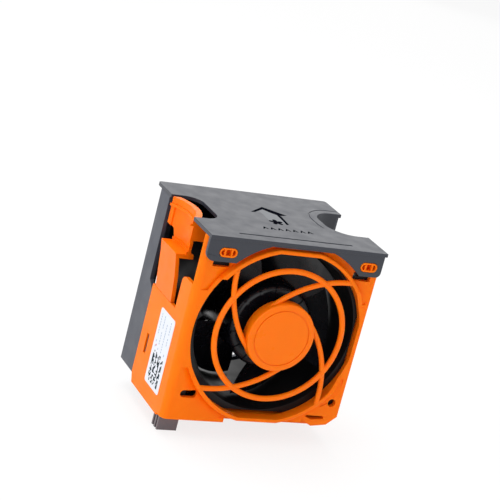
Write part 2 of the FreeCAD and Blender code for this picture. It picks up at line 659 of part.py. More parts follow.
def housing_catch(side):
    """Tongue inside a side wall with the catch that fills its window."""
    edge = side * MODULE_W / 2
    y = FRONT + CATCH_Y
    inner = edge - side * (WALL + 0.1)
    low, high = CATCH_Z - TONGUE_H / 2, CATCH_Z + TONGUE_H / 2
    root_end = FRONT + WALL_REAR + 2 * WALL
    xs = sorted((inner, inner - side * TONGUE_T))
    tongue = box(xs[0], xs[1], y - CATCH_W, root_end, low, high)
    xs = sorted((inner, edge - side * 0.6))
    half_w, half_h = CATCH_W / 2 - CATCH_PLAY, CATCH_H / 2 - CATCH_PLAY
    catch = box(xs[0], xs[1], y - half_w, y + half_w, CATCH_Z - half_h, CATCH_Z + half_h)
    xs = sorted((inner, edge - side * WALL))
    root = box(xs[0], xs[1], FRONT + WALL_REAR + FIT, root_end, low, high)
    return tongue.fuse([catch, root])


def rear_housing():
    """Grey housing behind the side walls, with the outlet opening and fan seats."""
    y1 = HOUSING_REAR
    wall_y = y1 - WALL
    back = box(LEFT, RIGHT, wall_y, y1, STRIP_BOTTOM, COVER_UNDER)
    floor = box(LEFT, RIGHT, FRONT + WALL_REAR + 0.1, y1, STRIP_BOTTOM, STRIP_BOTTOM + WALL)
    parts = [housing_side(LEFT), housing_side(RIGHT - WALL), floor]
    parts += [housing_catch(-1), housing_catch(1)]
    body = back.fuse(parts)
    body = body.cut(flat_circle(OUTLET_R, OUTLET_R, OUTLET_R, FAN_REAR, y1 + 1))
    return body.removeSplitter()


# ---- fan frame ---------------------------------------------------------------------------

def fan_flange(y0):
    """Square end flange with round corners and four holes."""
    half = FAN_SIZE / 2
    plate = box(FAN_X - half, FAN_X + half, y0, y0 + FAN_FLANGE_T, FAN_Z - half, FAN_Z + half)
    plate = plate.makeFillet(FAN_CORNER_R, [e for e in plate.Edges if e.BoundBox.YLength > 1])
    holes = [disc(FAN_HOLE_R, y0 - 1, y0 + FAN_FLANGE_T + 1, x, z) for x, z in fan_holes()]
    return plate.cut(holes)


def fan_holes():
    """Centres of the fan's corner holes."""
    half = FAN_HOLE_PITCH / 2
    return [(FAN_X + i * half, FAN_Z + k * half) for i in (-1, 1) for k in (-1, 1)]


def lead_height(index):
    """Height of one lead where the leads run side by side."""
    return FAN_Z - LEAD_DROP + (index - (len(LEADS) - 1) / 2) * LEAD_PITCH


def fan_frame():
    """Fan frame: two flanges, duct, rear struts, motor base and the leads' channel."""
    body = disc(BORE_R + TUBE_WALL, FAN_FRONT, FAN_REAR)
    body = body.fuse([fan_flange(FAN_FRONT), fan_flange(FAN_REAR - FAN_FLANGE_T)])
    flare = Part.makeCone(BORE_R + INLET_FLARE, BORE_R, INLET_FLARE_LEN, Vector(FAN_X, FAN_FRONT, FAN_Z),
                          Vector(0, 1, 0))
    body = body.cut([disc(BORE_R, FAN_FRONT - 1, FAN_REAR + 1), flare])
    strut_y = FAN_REAR - STRUT_D
    strut = box(FAN_X + BASE_R - 1, FAN_X + BORE_R + 0.5, strut_y, FAN_REAR,
                FAN_Z - STRUT_W / 2, FAN_Z + STRUT_W / 2)
    struts = around(strut, STRUTS, 180.0 / STRUTS)
    ribbon = len(LEADS) * LEAD_PITCH
    middle = FAN_Z - LEAD_DROP
    wide = ribbon / 2 + 0.9
    trunk = box(FAN_X - BORE_R - 0.5, FAN_X - BASE_R + 1, strut_y, FAN_REAR, middle - wide, middle + wide)
    body = body.fuse(struts + [trunk, disc(BASE_R, BASE_FRONT, FAN_REAR)])
    channel = box(FAN_X - FAN_SIZE, FAN_X - BASE_R + 3.5, strut_y - 1, strut_y + CHANNEL_DEPTH,
                  middle - ribbon / 2, middle + ribbon / 2)
    seat = disc(SLEEVE_R, BASE_FRONT - 1, FAN_REAR - SLEEVE_SHOULDER)
    return body.cut([channel, seat]).removeSplitter()


# ---- rotor -------------------------------------------------------------------------------

def blade_section(radius, pitch, chord, thick, camber):
    """Curved blade section, wrapped around the fan axis on the fan's right side."""
    centre = HUB_Y + HUB_LEN * 0.5
    rise, run = math.sin(math.radians(pitch)), math.cos(math.radians(pitch))
    edges = []
    for side in (1, -1):
        points = []
        for step in range(BLADE_STEPS + 1):
            share = step / BLADE_STEPS - 0.5
            along = share * chord * side
            bow = (camber + side * thick / 2) * (1 - 4 * share * share)
            spot = fan_point(radius, math.degrees((along * run - bow * rise) / radius),
                             centre + along * rise + bow * run)
            points.append(spot)
        curve = Part.BSplineCurve()
        curve.interpolate(points)
        edges.append(curve.toShape())
    return Part.Wire(edges)


def blade():
    """One twisted blade, lofted from hub to tip."""
    tip = BORE_R - TIP_GAP
    sections = [blade_section(HUB_R - 1.2, *BLADE_ROOT), blade_section((HUB_R + tip) / 2, *BLADE_MIDDLE),
                blade_section(tip + 1.5, *BLADE_TIP)]
    return Part.makeLoft(sections, True)


def impeller():
    """Impeller: closed nose, hub tube and blades trimmed to the duct."""
    y1 = HUB_Y + HUB_LEN
    hub = disc(HUB_R, HUB_Y, y1)
    nose = [e for e in hub.Edges if abs(e.BoundBox.YMax - HUB_Y) < 0.01]
    hub = hub.makeFillet(HUB_ROUND, nose)
    tip = tube(BORE_R - TIP_GAP, HUB_R - 1.0, HUB_Y + 0.5, y1 - 2)
    blades = [b.common(tip) for b in around(blade(), BLADES, BLADE_START)]
    body = hub.fuse(blades)
    return body.cut(disc(CUP_R, HUB_Y + HUB_NOSE_T, y1 + 1)).removeSplitter()


def rotor_cup():
    """Steel cup inside the hub, with the shaft's boss."""
    y0 = HUB_Y + HUB_NOSE_T
    y1 = HUB_Y + HUB_LEN - 1.0
    cup = disc(CUP_R, y0, y1).cut(disc(CUP_R - CUP_T, y0 + CUP_T, y1 + 1))
    boss = disc(BOSS_R, y0, y0 + CUP_T + BOSS_LEN)
    return cup.fuse(boss).cut(disc(SHAFT_R, shaft_front(), y1))


def motor_middle():
    """Middle of magnet and stator along the axis."""
    return HUB_Y + HUB_NOSE_T + CUP_T + 0.45 * HUB_LEN


def rotor_magnet():
    """Ring magnet inside the cup."""
    outer = CUP_R - CUP_T
    y = motor_middle()
    return tube(outer, outer - MAGNET_T, y - MAGNET_LEN / 2, y + MAGNET_LEN / 2)


def shaft_front():
    """Front end of the shaft, in the cup's boss."""
    return HUB_Y + HUB_NOSE_T + 0.4


def bearing_starts():
    """Front faces of the two bearings."""
    return (shaft_front() + BOSS_LEN + BEARING_W, BASE_FRONT - BOARD_LIFT - 0.1 - BEARING_W)


def ring_y():
    """Front face of the retaining ring, just behind the rear bearing."""
    return bearing_starts()[1] + BEARING_W + 0.1


def shaft():
    """Steel shaft with the retaining ring's groove."""
    bar = disc(SHAFT_R, shaft_front(), ring_y() + RING_W + 1.0)
    return bar.cut(tube(SHAFT_R + 1, SHAFT_R - RING_GROOVE, ring_y(), ring_y() + RING_W))


def retaining_ring():
    """Split ring in the shaft's groove."""
    y = ring_y()
    ring = tube(SHAFT_R + RING_PROUD, SHAFT_R - RING_GROOVE, y, y + RING_W)
    return ring.cut(box(FAN_X - 0.5, FAN_X + 0.5, y - 1, y + 1, FAN_Z, FAN_Z + 2 * SHAFT_R + RING_PROUD))


def bearing_shell(y0):
    """Outer ring of a shielded ball bearing."""
    return tube(BEARING_R, INNER_RING_R + RUN_GAP, y0, y0 + BEARING_W)


def inner_rings():
    """Inner rings of both bearings, which turn with the shaft."""
    rings = [tube(INNER_RING_R, SHAFT_R, y, y + BEARING_W) for y in bearing_starts()]
    return Part.makeCompound(rings)


def preload_spring():
    """Cone spring between the cup's boss and the front inner ring."""
    y1 = bearing_starts()[0]
    y0 = HUB_Y + HUB_NOSE_T + CUP_T + BOSS_LEN
    small = SHAFT_R + FIT
    large = small + SPRING_FLARE
    start = Vector(FAN_X, y0, FAN_Z)
    cone = Part.makeCone(large + SPRING_WALL, small + SPRING_WALL, y1 - y0, start, Vector(0, 1, 0))
    return cone.cut(Part.makeCone(large, small, y1 - y0, start, Vector(0, 1, 0)))


# ---- stator ------------------------------------------------------------------------------

def bearing_sleeve():
    """Brass tube that holds both bearings, pressed into the motor base."""
    first, last = bearing_starts()
    y1 = FAN_REAR - SLEEVE_SHOULDER
    body = tube(SLEEVE_R, BEARING_R - SLEEVE_SHOULDER, first, y1)
    seats = [disc(BEARING_R, first - 1, first + BEARING_W), disc(BEARING_R, last, y1 + 1)]
    return body.cut(seats)


def stator_core():
    """Laminated core: hub ring, poles and pole shoes."""
    y = motor_middle()
    y0, y1 = y - STATOR_LEN / 2, y + STATOR_LEN / 2
    ring = SLEEVE_R + CORE_RING
    core = tube(ring, SLEEVE_R, y0, y1)
    pole = box(FAN_X + ring - 0.4, FAN_X + STATOR_R - 0.6, y0, y1, FAN_Z - POLE_W / 2, FAN_Z + POLE_W / 2)
    shoes = tube(STATOR_R, STATOR_R - SHOE_T, y0, y1)
    gap = box(FAN_X, FAN_X + STATOR_R + 1, y0 - 1, y1 + 1, FAN_Z - SHOE_GAP / 2, FAN_Z + SHOE_GAP / 2)
    shoes = shoes.cut(around(gap, STATOR_POLES, 180.0 / STATOR_POLES))
    return core.fuse(around(pole, STATOR_POLES) + [shoes]).removeSplitter()


def coil_span():
    """Inner and outer radius of a coil on its pole."""
    return SLEEVE_R + CORE_RING + 0.3, STATOR_R - SHOE_T - 0.4


def stator_windings():
    """One wound coil per pole."""
    inner, outer = coil_span()
    y = motor_middle()
    half = COIL_LEN / 2
    coil = box(FAN_X + inner, FAN_X + outer, y - half, y + half, FAN_Z - COIL_W / 2, FAN_Z + COIL_W / 2)
    coil = coil.makeFillet(COIL_ROUND, [e for e in coil.Edges if e.BoundBox.XLength > 1])
    slot = STATOR_LEN / 2 + INSULATOR_T + 0.1
    high = POLE_W / 2 + 0.1
    coil = coil.cut(box(FAN_X, FAN_X + CUP_R, y - slot, y + slot, FAN_Z - high, FAN_Z + high))
    return Part.makeCompound(around(coil, STATOR_POLES))


def stator_insulator(side):
    """Insulating end cap on one end of the core."""
    y = motor_middle() + side * STATOR_LEN / 2
    ys = sorted((y, y + side * INSULATOR_T))
    core = SLEEVE_R + CORE_RING
    ring = tube(core, SLEEVE_R, ys[0], ys[1])
    outer = coil_span()[1]
    half = POLE_W / 2
    arm = box(FAN_X + core - 0.4, FAN_X + outer + 0.6, ys[0], ys[1], FAN_Z - half, FAN_Z + half)
    wall_ys = sorted((y, y + side * INSULATOR_WALL))
    high = COIL_W / 2 + 0.3
    wall = box(FAN_X + outer + 0.1, FAN_X + outer + 0.7, wall_ys[0], wall_ys[1], FAN_Z - high, FAN_Z + high)
    return ring.fuse(around(arm, STATOR_POLES) + around(wall, STATOR_POLES)).removeSplitter()


def board_front():
    """Front face of the circuit board."""
    return BASE_FRONT - BOARD_LIFT - BOARD_T


def circuit_board():
    """Round motor board around the bearing sleeve."""
    y = board_front()
    return tube(BOARD_R, SLEEVE_R + 0.1, y, y + BOARD_T)


def board_parts():
    """Driver chip, capacitor, hall sensor and small parts behind the board."""
    y = board_front() + BOARD_T
    parts = []
    for share, angle, wide, high, tall in BOARD_PARTS:
        spot = fan_point(share * BOARD_R, angle)
        parts.append(box(spot.x - wide / 2, spot.x + wide / 2, y, y + tall,
                         spot.z - high / 2, spot.z + high / 2))
    return Part.makeCompound(parts)


# ---- plug, leads, mounts and label -------------------------------------------------------

def lead_line(index):
    """Where one lead comes down to the plug: its x and y."""
    last = len(LEADS) - 1
    return LEFT + WALL + 1.5, FRONT + PLUG_Y + 0.6 + (last - index) * LEAD_PITCH


def chamber_spots():
    """Centres of the plug's contact chambers."""
    x0, y0 = plug_x() + PLUG_W / 5, FRONT + PLUG_Y + PLUG_D * 0.3
    return [(x0 + i * CHAMBER_PITCH[0], y0 + k * CHAMBER_PITCH[1])
            for i in range(CHAMBERS[0]) for k in range(CHAMBERS[1])]


def plug_housing():
    """Plug body with a collar on the floor, contact chambers below and key slots on the left."""
    x0 = plug_x()
    y0 = FRONT + PLUG_Y
    y1 = y0 + PLUG_D
    body = box(x0, x0 + PLUG_W, y0, y1, -PLUG_DROP, PLUG_TOP)
    collar = box(x0, x0 + PLUG_W + PLUG_COLLAR, y0 - PLUG_COLLAR, y1 + PLUG_COLLAR,
                 WALL, WALL + PLUG_COLLAR_T)
    lift = box(x0 - 1, x0 + 2 * PLUG_W, y0 - 2, FRONT + STEP_Y + FIT, 0, PLATE_LIFT + WALL)
    body = body.fuse(collar.cut(lift))
    half = CHAMBER_W / 2
    cuts = [box(cx - half, cx + half, cy - half, cy + half, -PLUG_DROP - 1, -PLUG_DROP + CHAMBER_DEPTH)
            for cx, cy in chamber_spots()]
    for index in (0, 1):
        cy = y0 + (0.28 + 0.44 * index) * PLUG_D
        cuts.append(box(x0 - 1, x0 + half, cy - half, cy + half, -PLUG_DROP - 1, -0.6))
    for index in range(len(LEADS)):
        lx, ly = lead_line(index)
        cuts.append(Part.makeCylinder(LEAD_R, 2 * WALL, Vector(lx, ly, PLUG_TOP - WALL)))
    return body.cut(cuts).removeSplitter()


def plug_contacts():
    """Spring contacts in the plug's chambers."""
    half = CONTACT_W / 2
    z0, z1 = CONTACT_W - PLUG_DROP, CHAMBER_DEPTH - PLUG_DROP
    pins = [box(cx - half, cx + half, cy - half, cy + half, z0, z1) for cx, cy in chamber_spots()]
    return Part.makeCompound(pins)


def lead(index):
    """One lead: out along its strut, forward beside the duct, and down into the plug."""
    x, y_down = lead_line(index)
    z = lead_height(index)
    y_run = FAN_REAR - STRUT_D + 1.3
    start = Vector(FAN_X - BASE_R + 3.3, y_run, z)
    points = [start, Vector(x, y_run, z), Vector(x, y_down, z), Vector(x, y_down, PLUG_TOP - WALL)]
    edges = []
    last = points[0]
    for before, corner, after in zip(points, points[1:], points[2:]):
        back = (before - corner).normalize()
        ahead = (after - corner).normalize()
        p0, p2 = corner + back * LEAD_BEND, corner + ahead * LEAD_BEND
        middle = corner + (back + ahead) * LEAD_BEND * (1 - math.sqrt(0.5))
        edges.append(Part.LineSegment(last, p0).toShape())
        edges.append(Part.Arc(p0, middle, p2).toShape())
        last = p2
    edges.append(Part.LineSegment(last, points[-1]).toShape())
    path = Part.Wire(edges)
    profile = Part.Wire(Part.makeCircle(LEAD_R, start, Vector(1, 0, 0)))
    solid = path.makePipeShell([profile], True, True)
    print("lead", index, "volume ratio", round(solid.Volume / (math.pi * LEAD_R ** 2 * path.Length), 4),
          "bend radius", LEAD_BEND)
    return solid


def rubber_mounts():
    """Four rubber studs between the fan's rear flange and the housing's back wall."""
    studs = []
    for x, z in fan_holes():
        head = disc(MOUNT_R, FAN_REAR, HOUSING_REAR - WALL, x, z)
        studs.append(head.fuse(disc(FAN_HOLE_R - 0.05, FAN_REAR - FAN_FLANGE_T + 1, FAN_REAR, x, z)))
    return Part.makeCompound(studs)


def side_label():
    """Sticker on the left wall."""
    y = FRONT + LABEL_Y
    label = box(LEFT - LABEL_T, LEFT, y - LABEL_W / 2, y + LABEL_W / 2,
                LABEL_Z - LABEL_H / 2, LABEL_Z + LABEL_H / 2)
    return label.makeFillet(LABEL_ROUND, [e for e in label.Edges if e.BoundBox.XLength > 0.05
                                          and e.BoundBox.YLength < 0.01 and e.BoundBox.ZLength < 0.01])


def main():
    """Build and write every node."""
    os.makedirs("parts", exist_ok=True)
    save("front_guard", front_guard())
    save("finger_guard", finger_guard())
    save("release_latch", release_latch())
    save("top_cover", top_cover())
    save("rear_housing", rear_housing())
    save("fan_frame", fan_frame())
    save("impeller", impeller())
    save("rotor_cup", rotor_cup())
    save("rotor_magnet", rotor_magnet())
    save("shaft", shaft())
    save("retaining_ring", retaining_ring())
    save("preload_spring", preload_spring())
    save("bearing_inner_rings", inner_rings())
    save("front_bearing", bearing_shell(bearing_starts()[0]))
    save("rear_bearing", bearing_shell(bearing_starts()[1]))
    save("bearing_sleeve", bearing_sleeve())
    save("stator_core", stator_core())
    save("stator_windings", stator_windings())
    save("front_insulator", stator_insulator(-1))
    save("rear_insulator", stator_insulator(1))
    save("circuit_board", circuit_board())
    save("board_parts", board_parts())
    save("plug_housing", plug_housing())
    save("plug_contacts", plug_contacts())
    for index, name in enumerate(LEADS):
        save(name, lead(index))
    save("rubber_mounts", rubber_mounts())
    save("side_label", side_label())


main()
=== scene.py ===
"""Looks of the server fan module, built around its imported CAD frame.

Every visible CAD node is carried over with softened edges and a finish of its own. The airflow
sign, the print on the code label and the small moulded marks are new surfaces, worked out with
numpy. Sizes of the new pieces are in millimetres, in the frame's own axes.
"""
import logging
import math
from dataclasses import dataclass, field
from enum import Enum
from typing import Protocol, Sequence

import bmesh
import bpy
import numpy as np
from mathutils import Matrix, Vector


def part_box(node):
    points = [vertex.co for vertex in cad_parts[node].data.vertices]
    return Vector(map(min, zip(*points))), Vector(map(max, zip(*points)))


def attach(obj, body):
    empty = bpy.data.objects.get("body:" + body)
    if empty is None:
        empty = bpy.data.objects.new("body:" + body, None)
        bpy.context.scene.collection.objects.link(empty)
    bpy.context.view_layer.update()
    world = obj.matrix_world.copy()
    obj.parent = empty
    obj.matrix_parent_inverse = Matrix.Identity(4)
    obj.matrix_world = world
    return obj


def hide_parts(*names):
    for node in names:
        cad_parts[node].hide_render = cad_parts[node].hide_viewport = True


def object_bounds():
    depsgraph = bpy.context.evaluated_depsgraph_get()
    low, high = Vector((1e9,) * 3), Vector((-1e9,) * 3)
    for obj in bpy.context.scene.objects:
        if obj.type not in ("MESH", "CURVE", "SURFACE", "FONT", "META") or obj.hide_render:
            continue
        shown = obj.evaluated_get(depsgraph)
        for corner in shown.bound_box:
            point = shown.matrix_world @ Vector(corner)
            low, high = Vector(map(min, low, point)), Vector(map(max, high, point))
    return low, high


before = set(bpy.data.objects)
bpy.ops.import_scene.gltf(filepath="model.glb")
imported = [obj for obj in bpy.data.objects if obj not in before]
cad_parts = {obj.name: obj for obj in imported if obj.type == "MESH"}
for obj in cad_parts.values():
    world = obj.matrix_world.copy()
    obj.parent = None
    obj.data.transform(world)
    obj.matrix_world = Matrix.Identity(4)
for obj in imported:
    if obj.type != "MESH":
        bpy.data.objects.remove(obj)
CAD_BOX = [list(corner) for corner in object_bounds()]
MM = 0.001
MERGE_MM = 0.001
FLAT_DEGREES = 0.4
BEVEL_DEGREES = 40.0
LOG = logging.getLogger("fan_module")


class Body(Enum):
    """Rigid bodies of the frame that a piece can ride on."""

    MODULE = "module"
    ROTOR = "rotor"
    LATCH = "latch"


class Axis(Enum):
    """Direction that a flat print or a mark faces; the value is its column in a point."""

    LEFT = 0
    FRONT = 1
    UP = 2


# ---- small helpers -----------------------------------------------------------------------

def linear(code: str) -> tuple[float, float, float, float]:
    """Turn an sRGB hex value into a linear colour.

    Args:
        code: colour such as "#fd7805".

    Returns:
        Red, green, blue and alpha, linear.
    """
    values = np.array([int(code[i:i + 2], 16) for i in (1, 3, 5)]) / 255.0
    low = values / 12.92
    high = ((values + 0.055) / 1.055) ** 2.4
    red, green, blue = np.where(values <= 0.04045, low, high)
    return float(red), float(green), float(blue), 1.0


def add_node(tree: bpy.types.NodeTree, kind: str, settings: dict | None = None,
             links: dict | None = None) -> bpy.types.Node:
    """Add a node with its settings and links.

    Args:
        tree: node tree that gets the node.
        kind: Blender's name of the node.
        settings: attribute or input name to value.
        links: input name or number to the output socket that feeds it.

    Returns:
        The new node.
    """
    node = tree.nodes.new(kind)
    for key, value in (settings or {}).items():
        if isinstance(key, str) and hasattr(node, key):
            setattr(node, key, value)
        else:
            node.inputs[key].default_value = value
    for key, source in (links or {}).items():
        tree.links.new(source, node.inputs[key])
    return node


def make_object(name: str, points: np.ndarray, faces: Sequence[Sequence[int]]) -> bpy.types.Object:
    """Make a mesh object from arrays, its faces turned outwards.

    Args:
        name: object name.
        points: n x 3 places in metres.
        faces: corner numbers of each face.

    Returns:
        The linked object.
    """
    mesh = bpy.data.meshes.new(name)
    mesh.from_pydata(points.tolist(), [], [list(f) for f in faces])
    work = bmesh.new()
    work.from_mesh(mesh)
    bmesh.ops.recalc_face_normals(work, faces=work.faces)
    work.to_mesh(mesh)
    work.free()
    obj = bpy.data.objects.new(name, mesh)
    bpy.context.scene.collection.objects.link(obj)
    return obj


def prism_faces(count: int, base: int) -> list[list[int]]:
    """Faces of a closed prism: both ends, and a side between each corner and the next.

    Args:
        count: corners of one end; the second end's corners follow the first's.
        base: number of the prism's first corner.

    Returns:
        Corner numbers of each face.
    """
    step = np.arange(count)
    after = (step + 1) % count
    sides = base + np.column_stack([step, after, after + count, step + count])
    return [(base + step[::-1]).tolist(), (base + step + count).tolist()] + sides.tolist()


def prints(name: str, outlines: Sequence[np.ndarray], facing: Axis, low: float,
           high: float) -> bpy.types.Object:
    """Thin closed prisms on one face: each outline is carried from one level to another.

    Args:
        name: object name.
        outlines: closed outlines of n x 2 corners in millimetres; for LEFT they are Y and Z, for
            FRONT X and Z, and for UP X and Y.
        facing: which coordinate the levels are.
        low: first level in millimetres.
        high: second level in millimetres.

    Returns:
        One object with all the prisms.
    """
    across = [column for column in range(3) if column != facing.value]
    points, faces, base = [], [], 0
    for outline in outlines:
        count = len(outline)
        both = np.zeros((2 * count, 3))
        both[:, across] = np.vstack([outline, outline])
        both[:, facing.value] = np.repeat([low, high], count)
        faces += prism_faces(count, base)
        points.append(both)
        base += 2 * count
    return make_object(name, np.vstack(points) * MM, faces)


def bars(name: str, centres: np.ndarray, halves: np.ndarray, facing: Axis, low: float,
         high: float) -> bpy.types.Object:
    """Many small closed bars at once: each corner is a centre plus or minus its half size.

    Args:
        name: object name.
        centres: n x 2 middles in millimetres, in the same two coordinates as in prints.
        halves: n x 2 half sizes in millimetres.
        facing: which coordinate the levels are.
        low: first level in millimetres.
        high: second level in millimetres.

    Returns:
        One object with all the bars.
    """
    across = [column for column in range(3) if column != facing.value]
    signs = np.array([(-1, -1), (1, -1), (1, 1), (-1, 1)])
    flat = centres[:, None, :] + signs[None, :, :] * halves[:, None, :]
    corners = np.zeros((len(centres), 8, 3))
    corners[:, :4, across] = flat
    corners[:, 4:, across] = flat
    corners[:, :4, facing.value] = low
    corners[:, 4:, facing.value] = high
    sides = np.array([(0, 3, 2, 1), (4, 5, 6, 7), (0, 1, 5, 4), (1, 2, 6, 5), (2, 3, 7, 6),
                      (3, 0, 4, 7)])
    faces = (np.arange(len(centres))[:, None, None] * 8 + sides[None]).reshape(-1, 4)
    return make_object(name, corners.reshape(-1, 3) * MM, faces.tolist())


def ring_mark(name: str, centre: tuple[float, float, float], radius: float, bead: float,
              facing: Axis) -> bpy.types.Object:
    """Raised ring: a small circle of radius 'bead' carried around a circle of the given radius.

    With the two angles u and v, a point is centre + (radius + bead cos v)(cos u, sin u) across
    the facing direction, and 0.5 bead sin v along it.

    Args:
        name: object name.
        centre: middle in millimetres.
        radius: radius of the ring in millimetres.
        bead: radius of the bead in millimetres.
        facing: direction that the ring's axis has.

    Returns:
        The closed ring.
    """
    around, across = 48, 8
    u, v = np.meshgrid(np.arange(around) * math.tau / around,
                       np.arange(across) * math.tau / across, indexing="ij")
    reach = radius + bead * np.cos(v)
    points = np.zeros((around, across, 3))
    first, second = [column for column in range(3) if column != facing.value]
    points[..., first] = reach * np.cos(u)
    points[..., second] = reach * np.sin(u)
    points[..., facing.value] = 0.5 * bead * np.sin(v)
    points += np.array(centre)
    i, k = np.meshgrid(np.arange(around), np.arange(across), indexing="ij")
    i2, k2 = (i + 1) % around, (k + 1) % across
    faces = np.stack([i * across + k, i2 * across + k, i2 * across + k2, i * across + k2], axis=-1)
    return make_object(name, points.reshape(-1, 3) * MM, faces.reshape(-1, 4).tolist())


def shade(obj: bpy.types.Object, degrees: float = 35.0) -> None:
    """Shade a mesh smooth, but keep edges sharper than the angle."""
    obj.data.polygons.foreach_set("use_smooth", [True] * len(obj.data.polygons))
    obj.data.set_sharp_from_angle(angle=math.radians(degrees))


# ---- finishes ----------------------------------------------------------------------------

class Finish(Protocol):
    """A finish has a name and builds one material."""

    name: str

    def build(self) -> bpy.types.Material:
        """Build the material."""


def new_tree(name: str) -> tuple[bpy.types.Material, bpy.types.NodeTree]:
    """Make an empty material.

    Args:
        name: name of the material.

    Returns:
        The material and its node tree, without nodes.
    """
    material = bpy.data.materials.new(name)
    material.use_nodes = True
    material.node_tree.nodes.clear()
    return material, material.node_tree


def shades(code: str, spread: float) -> tuple[tuple[float, ...], tuple[float, ...]]:
    """Make a colour darker and lighter.

    Args:
        code: sRGB hex value.
        spread: share by which it changes each way.

    Returns:
        The darker and the lighter linear colour.
    """
    base = np.array(linear(code)[:3])
    dark, light = base * (1 - spread), np.minimum(base * (1 + spread), 1.0)
    return (*dark.tolist(), 1.0), (*light.tolist(), 1.0)


@dataclass(frozen=True)
class MouldedPlastic:
    """Injection-moulded ABS, PBT or nylon from a spark-eroded mould.

    The eye sees an even colour with slow clouds of pigment, a fine grain that breaks the gloss,
    and larger patches where hands have polished it.
    """

    name: str
    colour: str
    roughness: float = 0.45
    grain_mm: float = 0.35
    grain_depth_mm: float = 0.012
    cloud: float = 0.05
    specular: float = 0.5
    bleed: float = 0.0
    bleed_mm: float = 1.0
    bleed_by_colour: tuple[float, float, float] = (1.0, 0.2, 0.05)
    cloud_mm: float = 9.0
    patch_mm: float = 5.0
    patch_spread: float = 0.06
    ior: float = 1.5

    def build(self) -> bpy.types.Material:
        """Make the material: clouded colour, grain in the bump, patches in the gloss."""
        material, tree = new_tree(self.name)
        place = add_node(tree, "ShaderNodeTexCoord").outputs["Object"]
        cloud = add_node(tree, "ShaderNodeTexNoise",
                         {"Scale": 1 / (self.cloud_mm * MM), "Detail": 2.0}, {"Vector": place})
        dark, light = shades(self.colour, self.cloud)
        colour = add_node(tree, "ShaderNodeMix", {"data_type": "RGBA", 6: dark, 7: light},
                          {0: cloud.outputs["Fac"]})
        grain = add_node(tree, "ShaderNodeTexNoise",
                         {"Scale": 1 / (self.grain_mm * MM), "Detail": 3.0}, {"Vector": place})
        patch = add_node(tree, "ShaderNodeTexNoise",
                         {"Scale": 1 / (self.patch_mm * MM), "Detail": 3.0}, {"Vector": place})
        rough = add_node(tree, "ShaderNodeMapRange",
                         {"From Min": 0.3, "From Max": 0.7,
                          "To Min": self.roughness - self.patch_spread,
                          "To Max": self.roughness + self.patch_spread},
                         {"Value": patch.outputs["Fac"]})
        bump = add_node(tree, "ShaderNodeBump",
                        {"Strength": 0.6, "Distance": self.grain_depth_mm * MM},
                        {"Height": grain.outputs["Fac"]})
        shader = add_node(tree, "ShaderNodeBsdfPrincipled",
                          {"IOR": self.ior, "Specular IOR Level": self.specular,
                           "Subsurface Weight": self.bleed,
                           "Subsurface Radius": self.bleed_by_colour,
                           "Subsurface Scale": self.bleed_mm * MM},
                          {"Base Color": colour.outputs[2], "Roughness": rough.outputs[0],
                           "Normal": bump.outputs[0]})
        add_node(tree, "ShaderNodeOutputMaterial", None, {"Surface": shader.outputs[0]})
        return material


@dataclass(frozen=True)
class BareMetal:
    """Turned, stamped or plated metal: fine tool lines across the shaft and an uneven polish."""

    name: str
    colour: str
    roughness: float = 0.3
    line_mm: float = 0.15
    coat: float = 0.0
    patch_mm: float = 3.0

    def build(self) -> bpy.types.Material:
        """Make the material: tool lines in the bump, patches in the gloss and the colour."""
        material, tree = new_tree(self.name)
        place = add_node(tree, "ShaderNodeTexCoord").outputs["Object"]
        # a wave of scale s has its bands pi / (10 s) apart, so this draws them 6.3 times as far
        # apart as the real lines, which would be too fine to show
        lines = add_node(tree, "ShaderNodeTexWave",
                         {"bands_direction": "Y", "Scale": 0.05 / (self.line_mm * MM),
                          "Distortion": 1.5},
                         {"Vector": place})
        patch = add_node(tree, "ShaderNodeTexNoise",
                         {"Scale": 1 / (self.patch_mm * MM), "Detail": 3.0}, {"Vector": place})
        dark, light = shades(self.colour, 0.08)
        colour = add_node(tree, "ShaderNodeMix", {"data_type": "RGBA", 6: dark, 7: light},
                          {0: patch.outputs["Fac"]})
        rough = add_node(tree, "ShaderNodeMapRange",
                         {"To Min": self.roughness - 0.1, "To Max": self.roughness + 0.12},
                         {"Value": patch.outputs["Fac"]})
        bump = add_node(tree, "ShaderNodeBump", {"Strength": 0.25, "Distance": 0.01 * MM},
                        {"Height": lines.outputs["Fac"]})
        shader = add_node(tree, "ShaderNodeBsdfPrincipled",
                          {"Metallic": 1.0, "Coat Weight": self.coat},
                          {"Base Color": colour.outputs[2], "Roughness": rough.outputs[0],
                           "Normal": bump.outputs[0]})
        add_node(tree, "ShaderNodeOutputMaterial", None, {"Surface": shader.outputs[0]})
        return material


